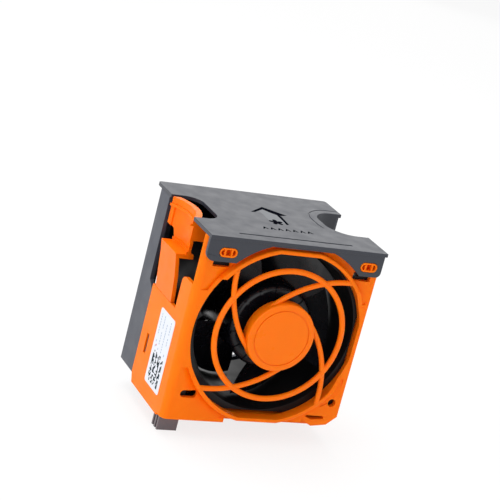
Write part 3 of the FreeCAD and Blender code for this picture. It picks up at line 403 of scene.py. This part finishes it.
@dataclass(frozen=True)
class InkAndPaintedLight:
    """Flat ink, pad-printed or laser-marked and a little worn so that it thins out in specks; also
    used for painted shade and painted sheen.
    """

    name: str
    colour: str
    worn: str
    roughness: float = 0.6
    specular: float = 0.2
    speck_mm: float = 0.6

    def build(self) -> bpy.types.Material:
        """Make the material: ink colour with specks of the worn colour."""
        material, tree = new_tree(self.name)
        place = add_node(tree, "ShaderNodeTexCoord").outputs["Object"]
        speck = add_node(tree, "ShaderNodeTexNoise",
                         {"Scale": 1 / (self.speck_mm * MM), "Detail": 2.0}, {"Vector": place})
        share = add_node(tree, "ShaderNodeMapRange", {"From Min": 0.55, "From Max": 0.8},
                         {"Value": speck.outputs["Fac"]})
        colour = add_node(tree, "ShaderNodeMix",
                          {"data_type": "RGBA", 6: linear(self.colour), 7: linear(self.worn)},
                          {0: share.outputs[0]})
        bump = add_node(tree, "ShaderNodeBump", {"Strength": 0.3, "Distance": 0.01 * MM},
                        {"Height": speck.outputs["Fac"]})
        shader = add_node(tree, "ShaderNodeBsdfPrincipled",
                          {"Roughness": self.roughness, "Specular IOR Level": self.specular},
                          {"Base Color": colour.outputs[2], "Normal": bump.outputs[0]})
        add_node(tree, "ShaderNodeOutputMaterial", None, {"Surface": shader.outputs[0]})
        return material


@dataclass(frozen=True)
class LabelFilm:
    """White polyester label with a satin face and faint waves from the roll."""

    name: str
    colour: str
    roughness: float = 0.38
    fibre_mm: float = 0.8
    wave_mm: float = 6.0

    def build(self) -> bpy.types.Material:
        """Make the material: paper-like clouds, and waves in the bump."""
        material, tree = new_tree(self.name)
        place = add_node(tree, "ShaderNodeTexCoord").outputs["Object"]
        fibre = add_node(tree, "ShaderNodeTexNoise",
                         {"Scale": 1 / (self.fibre_mm * MM), "Detail": 4.0}, {"Vector": place})
        wave = add_node(tree, "ShaderNodeTexNoise",
                        {"Scale": 1 / (self.wave_mm * MM), "Detail": 1.0}, {"Vector": place})
        dark, light = shades(self.colour, 0.03)
        colour = add_node(tree, "ShaderNodeMix", {"data_type": "RGBA", 6: dark, 7: light},
                          {0: fibre.outputs["Fac"]})
        bump = add_node(tree, "ShaderNodeBump", {"Strength": 0.4, "Distance": 0.03 * MM},
                        {"Height": wave.outputs["Fac"]})
        shader = add_node(tree, "ShaderNodeBsdfPrincipled",
                          {"Roughness": self.roughness, "Specular IOR Level": 0.4},
                          {"Base Color": colour.outputs[2], "Normal": bump.outputs[0]})
        add_node(tree, "ShaderNodeOutputMaterial", None, {"Surface": shader.outputs[0]})
        return material


# a strong orange pigment drowns the gloss, so the orange plastics have a low specular level
ORANGE = MouldedPlastic("orange_abs", "#f67404", roughness=0.4, grain_depth_mm=0.01, cloud=0.03,
                        specular=0.1, bleed=0.3)
WIRE_ORANGE = MouldedPlastic("orange_abs_wire", "#f67404", roughness=0.32, grain_depth_mm=0.006,
                             cloud=0.03, specular=0.14, bleed=0.3)
LATCH_ORANGE = MouldedPlastic("orange_acetal", "#f67004", roughness=0.36, grain_mm=0.3,
                              grain_depth_mm=0.008, cloud=0.03, specular=0.12, bleed=0.3)
COVER_GREY = MouldedPlastic("charcoal_abs_cover", "#2b2e37", roughness=0.38, grain_mm=0.4,
                            grain_depth_mm=0.008, cloud=0.04)
HOUSING_GREY = MouldedPlastic("charcoal_abs_housing", "#363a45", roughness=0.43, grain_mm=0.4,
                              cloud=0.08, specular=0.65)
FRAME_BLACK = MouldedPlastic("black_pbt_frame", "#0a0a0c", roughness=0.4, specular=0.25)
IMPELLER_BLACK = MouldedPlastic("black_pbt_impeller", "#0c0d12", roughness=0.26, grain_mm=0.5,
                                grain_depth_mm=0.006, specular=0.28)
PLUG_GREY = MouldedPlastic("grey_nylon_plug", "#645c60")
INSULATOR = MouldedPlastic("natural_nylon", "#d8d2bf", roughness=0.4)
BOARD = MouldedPlastic("green_solder_mask", "#1f5a35", roughness=0.35)
CHIP = MouldedPlastic("chip_epoxy", "#191919", roughness=0.4)
RUBBER = MouldedPlastic("black_rubber", "#202020", roughness=0.75, grain_mm=0.3,
                        grain_depth_mm=0.02)
PAPER = LabelFilm("label_polyester", "#d5dae2")
# matt black for the sign's dark marks: the chevrons and wheel, and painted shade on the arrow's
# engraved walls
SIGN_INK_AND_SHADE = InkAndPaintedLight("sign_ink_and_painted_shade", "#0c0d14", "#16171f", roughness=0.9, specular=0.0)
# the field's grey, lighter than the cover, is painted sheen
SIGN_PAINTED_SHEEN = InkAndPaintedLight("sign_field_painted_sheen", "#4d5157", "#44484e", roughness=0.36, specular=0.5)
CODE_INK = InkAndPaintedLight("code_ink", "#16262e", "#2c3f48", roughness=0.8, specular=0.1)
FAINT_INK = InkAndPaintedLight("faint_ink", "#8fa0b8", "#b0bccb")
RED_INK = InkAndPaintedLight("red_ink", "#c4606c", "#d28a92")
STEEL = BareMetal("ground_steel", "#c9c9cc", roughness=0.25)
PLATED = BareMetal("zinc_plated_steel", "#b4b6b8", roughness=0.35)
BLUED = BareMetal("blued_spring_steel", "#5a5f6b")
MAGNET = BareMetal("bonded_ferrite", "#2b2b2d", roughness=0.6)
LAMINATION = BareMetal("electrical_steel", "#8d9096", roughness=0.4, line_mm=0.35)
BRASS = BareMetal("turned_brass", "#d0a24c", roughness=0.25)
COPPER = BareMetal("enamelled_copper", "#b5602f", roughness=0.25, line_mm=0.3, coat=0.6)
PLATING = BareMetal("tin_bronze_contact", "#d8b560", roughness=0.22)


@dataclass
class Workshop:
    """Keeps each built material, so that pieces of one finish share it."""

    built: dict[str, bpy.types.Material] = field(default_factory=dict)

    def material(self, finish: Finish) -> bpy.types.Material:
        """Return the finish's material, built on first use."""
        if finish.name not in self.built:
            self.built[finish.name] = finish.build()
        return self.built[finish.name]

    def fit(self, obj: bpy.types.Object, body: Body, finish: Finish) -> bpy.types.Object:
        """Give a piece its finish, body and material slot.

        Args:
            obj: the piece.
            body: body that it rides on.
            finish: its finish.

        Returns:
            The same piece.
        """
        obj.data.materials.clear()
        obj.data.materials.append(self.material(finish))
        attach(obj, body.value)
        LOG.info("%s rides on %s", obj.name, body.value)
        return obj

    def carry(self, node: str, body: Body, finish: Finish,
              edge_mm: float) -> bpy.types.Object:
        """Copy a CAD node, merge and soften the copy, and let it stand for the node.

        Args:
            node: name of the CAD node.
            body: body that it rides on.
            finish: its finish.
            edge_mm: width of the softened edges in millimetres, or 0 for none.

        Returns:
            The copy.
        """
        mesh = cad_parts[node].data.copy()
        mesh.name = node + "_shell"
        work = bmesh.new()
        work.from_mesh(mesh)
        bmesh.ops.remove_doubles(work, verts=work.verts, dist=MERGE_MM * MM)
        bmesh.ops.dissolve_limit(work, angle_limit=math.radians(FLAT_DEGREES), verts=work.verts,
                                 edges=work.edges)
        work.to_mesh(mesh)
        work.free()
        if "custom_normal" in mesh.attributes:
            mesh.attributes.remove(mesh.attributes["custom_normal"])
        obj = bpy.data.objects.new(node + "_shell", mesh)
        bpy.context.scene.collection.objects.link(obj)
        shade(obj)
        if edge_mm > 0:
            bevel = obj.modifiers.new("soft_edges", "BEVEL")
            bevel.width = edge_mm * MM
            bevel.segments = 2
            bevel.limit_method = "ANGLE"
            bevel.angle_limit = math.radians(BEVEL_DEGREES)
            bevel.harden_normals = True
        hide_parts(node)
        return self.fit(obj, body, finish)


# ---- sub-assemblies ----------------------------------------------------------------------

@dataclass
class FrontGuard:
    """Orange front plate, side walls and floor, with the finger guard and moulding marks."""

    slot: str = "orange_moulding"
    plate_edge: float = 0.2
    wire_edge: float = 0.15
    pin_radius: float = 0.45
    pin_bead: float = 0.1
    pins: tuple[tuple[float, float], ...] = ((-30.6, 34.6), (30.5, 21.6))
    pin_face: float = -22.9

    def build(self, shop: Workshop) -> None:
        """Dress both mouldings and add the ejector-pin rings on the plate's face.

        Args:
            shop: the workshop that fits each piece.
        """
        shop.carry("front_guard", Body.MODULE, ORANGE, self.plate_edge)
        shop.carry("finger_guard", Body.MODULE, WIRE_ORANGE, self.wire_edge)
        for number, (x, z) in enumerate(self.pins):
            ring = ring_mark(f"pin_ring_{number}", (x, self.pin_face, z), self.pin_radius,
                             self.pin_bead, Axis.FRONT)
            shade(ring)
            shop.fit(ring, Body.MODULE, ORANGE)


@dataclass
class ReleaseLatch:
    """Sprung latch of the left wall."""

    slot: str = "orange_moulding"
    edge: float = 0.25

    def build(self, shop: Workshop) -> None:
        """Dress the latch."""
        shop.carry("release_latch", Body.LATCH, LATCH_ORANGE, self.edge)


@dataclass
class TopCover:
    """Charcoal cover with its airflow sign, which is partly painted light: dark strokes of painted
    shade, a pale field of painted sheen, and a dark wheel and chevrons.
    """

    slot: str = "grey_cover"
    edge: float = 0.15
    ink_mm: float = 0.02
    sunk_mm: float = 0.3
    # the head's outline is painted shade: the walls of the engraved arrowhead that face away from
    # the light
    head_shade: tuple[tuple[float, float], ...] = (
        (-6.8, 3.4), (0.3, 10.2), (7.2, 3.4), (3.7, 2.2), (1.2, 4.8), (-0.6, 7.5), (-2.0, 6.3),
        (-5.1, 3.6))
    # dark strip down the stem's right side, painted shade of the engraved wall there
    side: tuple[tuple[float, float], ...] = (
        (3.0, 2.6), (4.35, 1.9), (4.0, -3.0), (3.7, -6.6), (2.6, -6.9), (2.9, -3.0))
    # outline of the pale field inside the arrow, painted lighter than the cover as a painted sheen
    clear: tuple[tuple[float, float], ...] = (
        (-2.9, -3.6), (-2.7, 5.7), (-0.6, 7.5), (1.2, 4.8), (3.3, 2.5), (2.9, -5.9))
    wheel_at: tuple[float, float] = (-0.65, -5.3)
    wheel_reach: float = 2.7
    wheel_hub_share: float = 0.42
    wheel_blades: int = 5
    chevron: tuple[tuple[float, float], ...] = (
        (-1.15, -1.2), (0.0, 1.2), (1.15, -1.2), (0.5, -1.2), (0.0, -0.1), (-0.5, -1.2))
    chevrons: int = 7
    chevron_pitch: float = 2.85
    row_middle: tuple[float, float] = (0.4, -12.5)

    def build(self, shop: Workshop) -> None:
        """Dress the cover and lay the sign on it, with its painted shade and painted sheen.

        Args:
            shop: the workshop that fits each piece.
        """
        shop.carry("top_cover", Body.MODULE, COVER_GREY, self.edge)
        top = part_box("top_cover")[1][2] / MM
        low, high = top - self.sunk_mm, top + self.ink_mm
        # the head outline and the side strip are painted shade; the wheel is a dark mark
        arrow = [np.array(self.head_shade), np.array(self.side), self.wheel()]
        dark = prints("airflow_shade_and_wheel", arrow, Axis.UP, low, high)
        shop.fit(dark, Body.MODULE, SIGN_INK_AND_SHADE)
        # the pale field: painted sheen
        pale = prints("airflow_field_painted_sheen", [np.array(self.clear)], Axis.UP, low,
                      high - self.ink_mm / 2)
        shop.fit(pale, Body.MODULE, SIGN_PAINTED_SHEEN)
        row = prints("airflow_chevrons", self.chevron_outlines(), Axis.UP, low, high)
        shop.fit(row, Body.MODULE, SIGN_INK_AND_SHADE)

    def wheel(self) -> np.ndarray:
        """Work out the small fan wheel at the tail.

        With the hub's share h and n blades, the reach at angle a is the largest times
        h + (1 - h) |cos(n / 2 (a - 90 degrees))|.

        Returns:
            The wheel's outline.
        """
        angle = np.linspace(0, math.tau, 20 * self.wheel_blades, endpoint=False)
        blade = np.abs(np.cos(self.wheel_blades / 2 * (angle - math.pi / 2)))
        share = self.wheel_hub_share + (1 - self.wheel_hub_share) * blade
        spokes = np.column_stack([np.cos(angle), np.sin(angle)])
        return self.wheel_at + self.wheel_reach * share[:, None] * spokes

    def chevron_outlines(self) -> list[np.ndarray]:
        """Row of small arrowheads before the arrow, each pointing the way the air flows."""
        places = (np.arange(self.chevrons) - (self.chevrons - 1) / 2) * self.chevron_pitch
        return [np.array(self.chevron) + self.row_middle + (x, 0.0) for x in places]


@dataclass
class RearHousing:
    """Charcoal rear housing with the rubber mounts of the fan."""

    housing_edge: float = 0.15
    mount_edge: float = 0.2

    def build(self, shop: Workshop) -> None:
        """Dress the housing and the mounts."""
        shop.carry("rear_housing", Body.MODULE, HOUSING_GREY,
                   self.housing_edge)
        shop.carry("rubber_mounts", Body.MODULE, RUBBER, self.mount_edge)


@dataclass
class CodeLabel:
    """Sticker on the left wall with an unreadable dot code and faint lines.

    Places on it are shares: 'across' runs from its rear edge to its front edge, 'up' from its
    lower edge to its upper edge.
    """

    slot: str = "label_paper"
    ink_mm: float = 0.02
    sunk_mm: float = 0.05
    cell_mm: float = 0.62
    cell_half_share: float = 0.48
    cells_to_gap: int = 4
    code_fill: float = 0.6
    code_across: tuple[float, float] = (0.15, 0.9)
    code_up: tuple[float, float] = (0.05, 0.46)
    ragged_share: float = 0.2
    lines_across: tuple[float, ...] = (0.15, 0.36, 0.58, 0.8)
    lines_up: tuple[float, float] = (0.5, 0.93)
    dashes: int = 13
    dash_fill: float = 0.68
    dash_half_width: float = 0.22
    dash_half_lengths: tuple[float, float] = (0.25, 0.45)
    dot_at: tuple[float, float] = (0.2, 0.52)
    dot_half: float = 0.35
    seed: int = 7
    face: float = field(init=False)
    low: np.ndarray = field(init=False)
    high: np.ndarray = field(init=False)

    def build(self, shop: Workshop) -> None:
        """Dress the sticker and print it.

        Args:
            shop: the workshop that fits each piece.
        """
        shop.carry("side_label", Body.MODULE, PAPER, 0.0)
        low, high = (np.array(corner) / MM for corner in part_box("side_label"))
        self.face, self.low, self.high = low[0], low[1:], high[1:]
        levels = (self.face + self.sunk_mm, self.face - self.ink_mm)
        for name, (middles, halves), ink in (("label_code", self.code_cells(), CODE_INK),
                                             ("label_lines", self.faint_lines(), FAINT_INK),
                                             ("label_dot", self.dot(), RED_INK)):
            shop.fit(bars(name, middles, halves, Axis.LEFT, *levels), Body.MODULE, ink)

    def spot(self, shares: np.ndarray) -> np.ndarray:
        """Turn shares into places.

        Args:
            shares: n x 2 shares across and up.

        Returns:
            Y and Z of each place in millimetres.
        """
        y = self.high[0] - shares[:, 0] * (self.high[0] - self.low[0])
        z = self.low[1] + shares[:, 1] * (self.high[1] - self.low[1])
        return np.column_stack([y, z])

    def code_cells(self) -> tuple[np.ndarray, np.ndarray]:
        """Cells of the dot code: random cells in columns, with a clear column after every third.

        The block's upper end is ragged: each column loses a random share of its height.

        Returns:
            Middles and half sizes of the filled cells.
        """
        rng = np.random.default_rng(self.seed)
        size = self.high - self.low
        columns = int((self.code_across[1] - self.code_across[0]) * size[0] / self.cell_mm)
        rows = int((self.code_up[1] - self.code_up[0]) * size[1] / self.cell_mm)
        i, k = np.meshgrid(np.arange(columns), np.arange(rows), indexing="ij")
        filled = rng.random(i.shape) < self.code_fill
        filled &= i % self.cells_to_gap != self.cells_to_gap - 1
        height = 1 - self.ragged_share + self.ragged_share * rng.random((columns, 1))
        filled &= k < rows * height
        across = self.code_across[0] + (i[filled] + 0.5) * self.cell_mm / size[0]
        up = self.code_up[0] + (k[filled] + 0.5) * self.cell_mm / size[1]
        middles = self.spot(np.column_stack([across, up]))
        return middles, np.full((len(middles), 2), self.cell_mm * self.cell_half_share)

    def faint_lines(self) -> tuple[np.ndarray, np.ndarray]:
        """Short faint dashes in lines along the label.

        Returns:
            Middles and half sizes of the dashes.
        """
        rng = np.random.default_rng(self.seed + 1)
        across, up = np.meshgrid(np.array(self.lines_across),
                                 np.linspace(*self.lines_up, self.dashes), indexing="ij")
        kept = rng.random(across.shape) < self.dash_fill
        middles = self.spot(np.column_stack([across[kept], up[kept]]))
        lengths = rng.uniform(*self.dash_half_lengths, len(middles))
        return middles, np.column_stack([np.full(len(middles), self.dash_half_width), lengths])

    def dot(self) -> tuple[np.ndarray, np.ndarray]:
        """Middle and half size of the single coloured dot."""
        return self.spot(np.array([self.dot_at])), np.full((1, 2), self.dot_half)


@dataclass
class AxialFan:
    """Fan with its rotor and the motor inside its hub."""

    pieces: tuple[tuple[str, Body, Finish, str, float], ...] = (
        ("fan_frame", Body.MODULE, FRAME_BLACK, "black_frame", 0.2),
        ("impeller", Body.ROTOR, IMPELLER_BLACK, "black_impeller", 0.1),
        ("rotor_cup", Body.ROTOR, PLATED, "plated_steel", 0.1),
        ("rotor_magnet", Body.ROTOR, MAGNET, "bonded_magnet", 0.1),
        ("shaft", Body.ROTOR, STEEL, "ground_steel", 0.05),
        ("retaining_ring", Body.ROTOR, BLUED, "spring_steel", 0.0),
        ("preload_spring", Body.ROTOR, BLUED, "spring_steel", 0.0),
        ("bearing_inner_rings", Body.ROTOR, STEEL, "ground_steel", 0.05),
        ("front_bearing", Body.MODULE, STEEL, "ground_steel", 0.1),
        ("rear_bearing", Body.MODULE, STEEL, "ground_steel", 0.1),
        ("bearing_sleeve", Body.MODULE, BRASS, "brass_sleeve", 0.1),
        ("stator_core", Body.MODULE, LAMINATION, "laminations", 0.0),
        ("stator_windings", Body.MODULE, COPPER, "enamelled_copper", 0.1),
        ("front_insulator", Body.MODULE, INSULATOR, "insulator_nylon", 0.0),
        ("rear_insulator", Body.MODULE, INSULATOR, "insulator_nylon", 0.0),
        ("circuit_board", Body.MODULE, BOARD, "board_laminate", 0.05),
        ("board_parts", Body.MODULE, CHIP, "chip_epoxy", 0.05),
    )
    ribs: int = 15
    rib_radii: tuple[float, float] = (12.2, 14.9)
    rib_steps: int = 9
    rib_width: float = 0.9
    rib_proud: float = 0.45
    rib_depth: float = 1.0
    round_from: float = 13.2
    round_reach: float = 2.3
    round_drop: float = 2.2
    round_limit: float = 0.95

    def build(self, shop: Workshop) -> None:
        """Dress every piece of the fan and add the ribs on the rotor's nose.

        Args:
            shop: the workshop that fits each piece.
        """
        for node, body, finish, slot, edge in self.pieces:
            shop.carry(node, body, finish, edge)
        ribs = self.nose_ribs()
        shade(ribs, 50.0)
        shop.fit(ribs, Body.ROTOR, IMPELLER_BLACK)

    def nose_ribs(self) -> bpy.types.Object:
        """Low radial ribs over the rounded edge of the nose.

        The depth of a rib's top at radius r is the nose's front less rib_proud, plus
        round_drop (1 - sqrt(1 - q q)), where q is (r - round_from) / round_reach, kept between 0
        and round_limit. The top line goes back at rib_depth behind itself, the loop is moved to
        both sides by half the width, and the rib is repeated around the shaft.

        Returns:
            One object with all the ribs.
        """
        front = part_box("impeller")[0][1] / MM
        shaft = np.array(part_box("shaft")).mean(axis=0) / MM
        reach = np.linspace(*self.rib_radii, self.rib_steps)
        q = np.clip((reach - self.round_from) / self.round_reach, 0.0, self.round_limit)
        top = front - self.rib_proud + self.round_drop * (1 - np.sqrt(1 - q * q))
        radial = np.concatenate([reach, reach[::-1]])
        depth = np.concatenate([top, top[::-1] + self.rib_depth])
        angle = (np.arange(self.ribs) * math.tau / self.ribs)[:, None, None]
        side = (np.array([-0.5, 0.5]) * self.rib_width)[None, :, None]
        points = np.zeros((self.ribs, 2, len(radial), 3))
        points[..., 0] = shaft[0] + np.cos(angle) * radial - np.sin(angle) * side
        points[..., 1] = depth
        points[..., 2] = shaft[2] + np.sin(angle) * radial + np.cos(angle) * side
        faces: list[list[int]] = []
        for number in range(self.ribs):
            faces += prism_faces(len(radial), number * 2 * len(radial))
        return make_object("nose_ribs", points.reshape(-1, 3) * MM, faces)


@dataclass
class PowerPlug:
    """Plug at the front left with its contacts and the four leads to the fan."""

    housing_edge: float = 0.12
    leads: tuple[tuple[str, str, str], ...] = (
        ("lead_supply", "lead_red", "#a3131a"),
        ("lead_return", "lead_black", "#17171a"),
        ("lead_tachometer", "lead_yellow", "#e3d9a0"),
        ("lead_control", "lead_blue", "#27408f"),
    )

    def build(self, shop: Workshop) -> None:
        """Dress plug, contacts and leads.

        Args:
            shop: the workshop that fits each piece.
        """
        shop.carry("plug_housing", Body.MODULE, PLUG_GREY, self.housing_edge)
        shop.carry("plug_contacts", Body.MODULE, PLATING, 0.0)
        for node, slot, colour in self.leads:
            finish = MouldedPlastic(node + "_pvc", colour, roughness=0.35, grain_mm=0.3,
                                    grain_depth_mm=0.005, cloud=0.03)
            shop.carry(node, Body.MODULE, finish, 0.0)


# ---- studio ------------------------------------------------------------------------------

@dataclass
class Studio:
    """Pale floor, white surround, soft lamps and the camera.

    The camera stands in millimetres; the lamps' places and sizes are in metres, their power in
    watts.
    """

    lens_mm: float = 127.76
    sensor_mm: float = 36.0
    clip: tuple[float, float] = (0.01, 20.0)
    camera_at: tuple[float, float, float] = (-273.75, -524.76, 236.65)
    right: tuple[float, float, float] = (0.894845, -0.374939, 0.242217)
    down: tuple[float, float, float] = (0.096577, -0.367152, -0.925134)
    forward: tuple[float, float, float] = (0.435804, 0.851244, -0.292333)
    floor_half: float = 3.0
    floor_colour: str = "#f4f4f4"
    world_level: float = 0.68
    shadow_share: float = 0.2
    aim_at: tuple[float, float, float] = (0.0, 0.0, 0.035)
    lamp_set: tuple[tuple[str, tuple[float, float, float], float, float], ...] = (
        ("overhead", (-0.1, 0.25, 0.9), 0.9, 6.0),
        ("left_side", (-0.9, -0.05, 0.45), 0.8, 3.6),
        ("front_fill", (-0.15, -0.95, 0.3), 0.7, 1.4),
        ("back_fill", (0.5, 0.95, 0.36), 0.7, 0.5),
    )

    def build(self) -> None:
        """Build camera, floor, world and lamps."""
        self.camera()
        self.floor()
        self.world()
        self.lamps()

    def camera(self) -> None:
        """Place the camera: its columns are right, up and backward."""
        lens = bpy.data.cameras.new("camera")
        lens.lens = self.lens_mm
        lens.sensor_width = self.sensor_mm
        lens.clip_start, lens.clip_end = self.clip
        camera = bpy.data.objects.new("camera", lens)
        columns = [Vector(self.right), -Vector(self.down), -Vector(self.forward)]
        turn = Matrix(columns).transposed().to_4x4()
        camera.matrix_world = Matrix.Translation(Vector(self.camera_at) * MM) @ turn
        bpy.context.scene.collection.objects.link(camera)
        bpy.context.scene.camera = camera

    def seen_plainly(self, tree: bpy.types.NodeTree) -> bpy.types.NodeSocket:
        """Tell rays that should see plain white from rays that light the object.

        Args:
            tree: node tree that gets the nodes.

        Returns:
            Socket that is 1 for camera, glossy and transmission rays, else 0.
        """
        path = add_node(tree, "ShaderNodeLightPath")
        glossy = add_node(tree, "ShaderNodeMath", {"operation": "MAXIMUM"},
                          {0: path.outputs["Is Camera Ray"], 1: path.outputs["Is Glossy Ray"]})
        either = add_node(tree, "ShaderNodeMath", {"operation": "MAXIMUM"},
                          {0: glossy.outputs[0], 1: path.outputs["Is Transmission Ray"]})
        return either.outputs[0]

    def floor(self) -> None:
        """Pale floor, white where seen but still holding the object's shadow."""
        low = CAD_BOX[0][2]
        half = self.floor_half
        points = np.array([(-half, -half, low), (half, -half, low), (half, half, low),
                           (-half, half, low)])
        floor = make_object("floor", points, [(0, 1, 2, 3)])
        material, tree = new_tree("pale_floor")
        share = add_node(tree, "ShaderNodeMath",
                         {"operation": "MULTIPLY", 1: 1 - self.shadow_share},
                         {0: self.seen_plainly(tree)})
        matt = add_node(tree, "ShaderNodeBsdfDiffuse", {"Color": linear(self.floor_colour)})
        glow = add_node(tree, "ShaderNodeEmission", {"Color": (1, 1, 1, 1), "Strength": 1.0})
        mixed = add_node(tree, "ShaderNodeMixShader", None,
                         {0: share.outputs[0], 1: matt.outputs[0], 2: glow.outputs[0]})
        add_node(tree, "ShaderNodeOutputMaterial", None, {"Surface": mixed.outputs[0]})
        floor.data.materials.append(material)

    def world(self) -> None:
        """Even surround: white where seen or mirrored, softer as a light."""
        world = bpy.data.worlds.new("surround")
        bpy.context.scene.world = world
        world.use_nodes = True
        tree = world.node_tree
        tree.nodes.clear()
        level = add_node(tree, "ShaderNodeMapRange", {"To Min": self.world_level, "To Max": 1.0},
                         {"Value": self.seen_plainly(tree)})
        glow = add_node(tree, "ShaderNodeBackground", {"Color": (1, 1, 1, 1)},
                        {"Strength": level.outputs[0]})
        add_node(tree, "ShaderNodeOutputWorld", None, {"Surface": glow.outputs[0]})

    def lamps(self) -> None:
        """Soft lamps above, at the left, in front and behind."""
        for name, place, size, power in self.lamp_set:
            lamp = bpy.data.lights.new(name, "AREA")
            lamp.shape = "DISK"
            lamp.size = size
            lamp.energy = power
            obj = bpy.data.objects.new(name, lamp)
            obj.location = place
            aim = Vector(self.aim_at) - Vector(place)
            obj.rotation_euler = aim.to_track_quat("-Z", "Y").to_euler()
            bpy.context.scene.collection.objects.link(obj)


def main() -> None:
    """Build the studio and every sub-assembly in order."""
    logging.basicConfig(level=logging.INFO, format="%(name)s: %(message)s")
    bpy.context.scene.view_settings.view_transform = "Standard"
    Studio().build()
    shop = Workshop()
    for part in (FrontGuard(), ReleaseLatch(), TopCover(), RearHousing(), CodeLabel(), AxialFan(),
                 PowerPlug()):
        part.build(shop)
        LOG.info("%s is built", type(part).__name__)


if __name__ == "__main__":
    main()
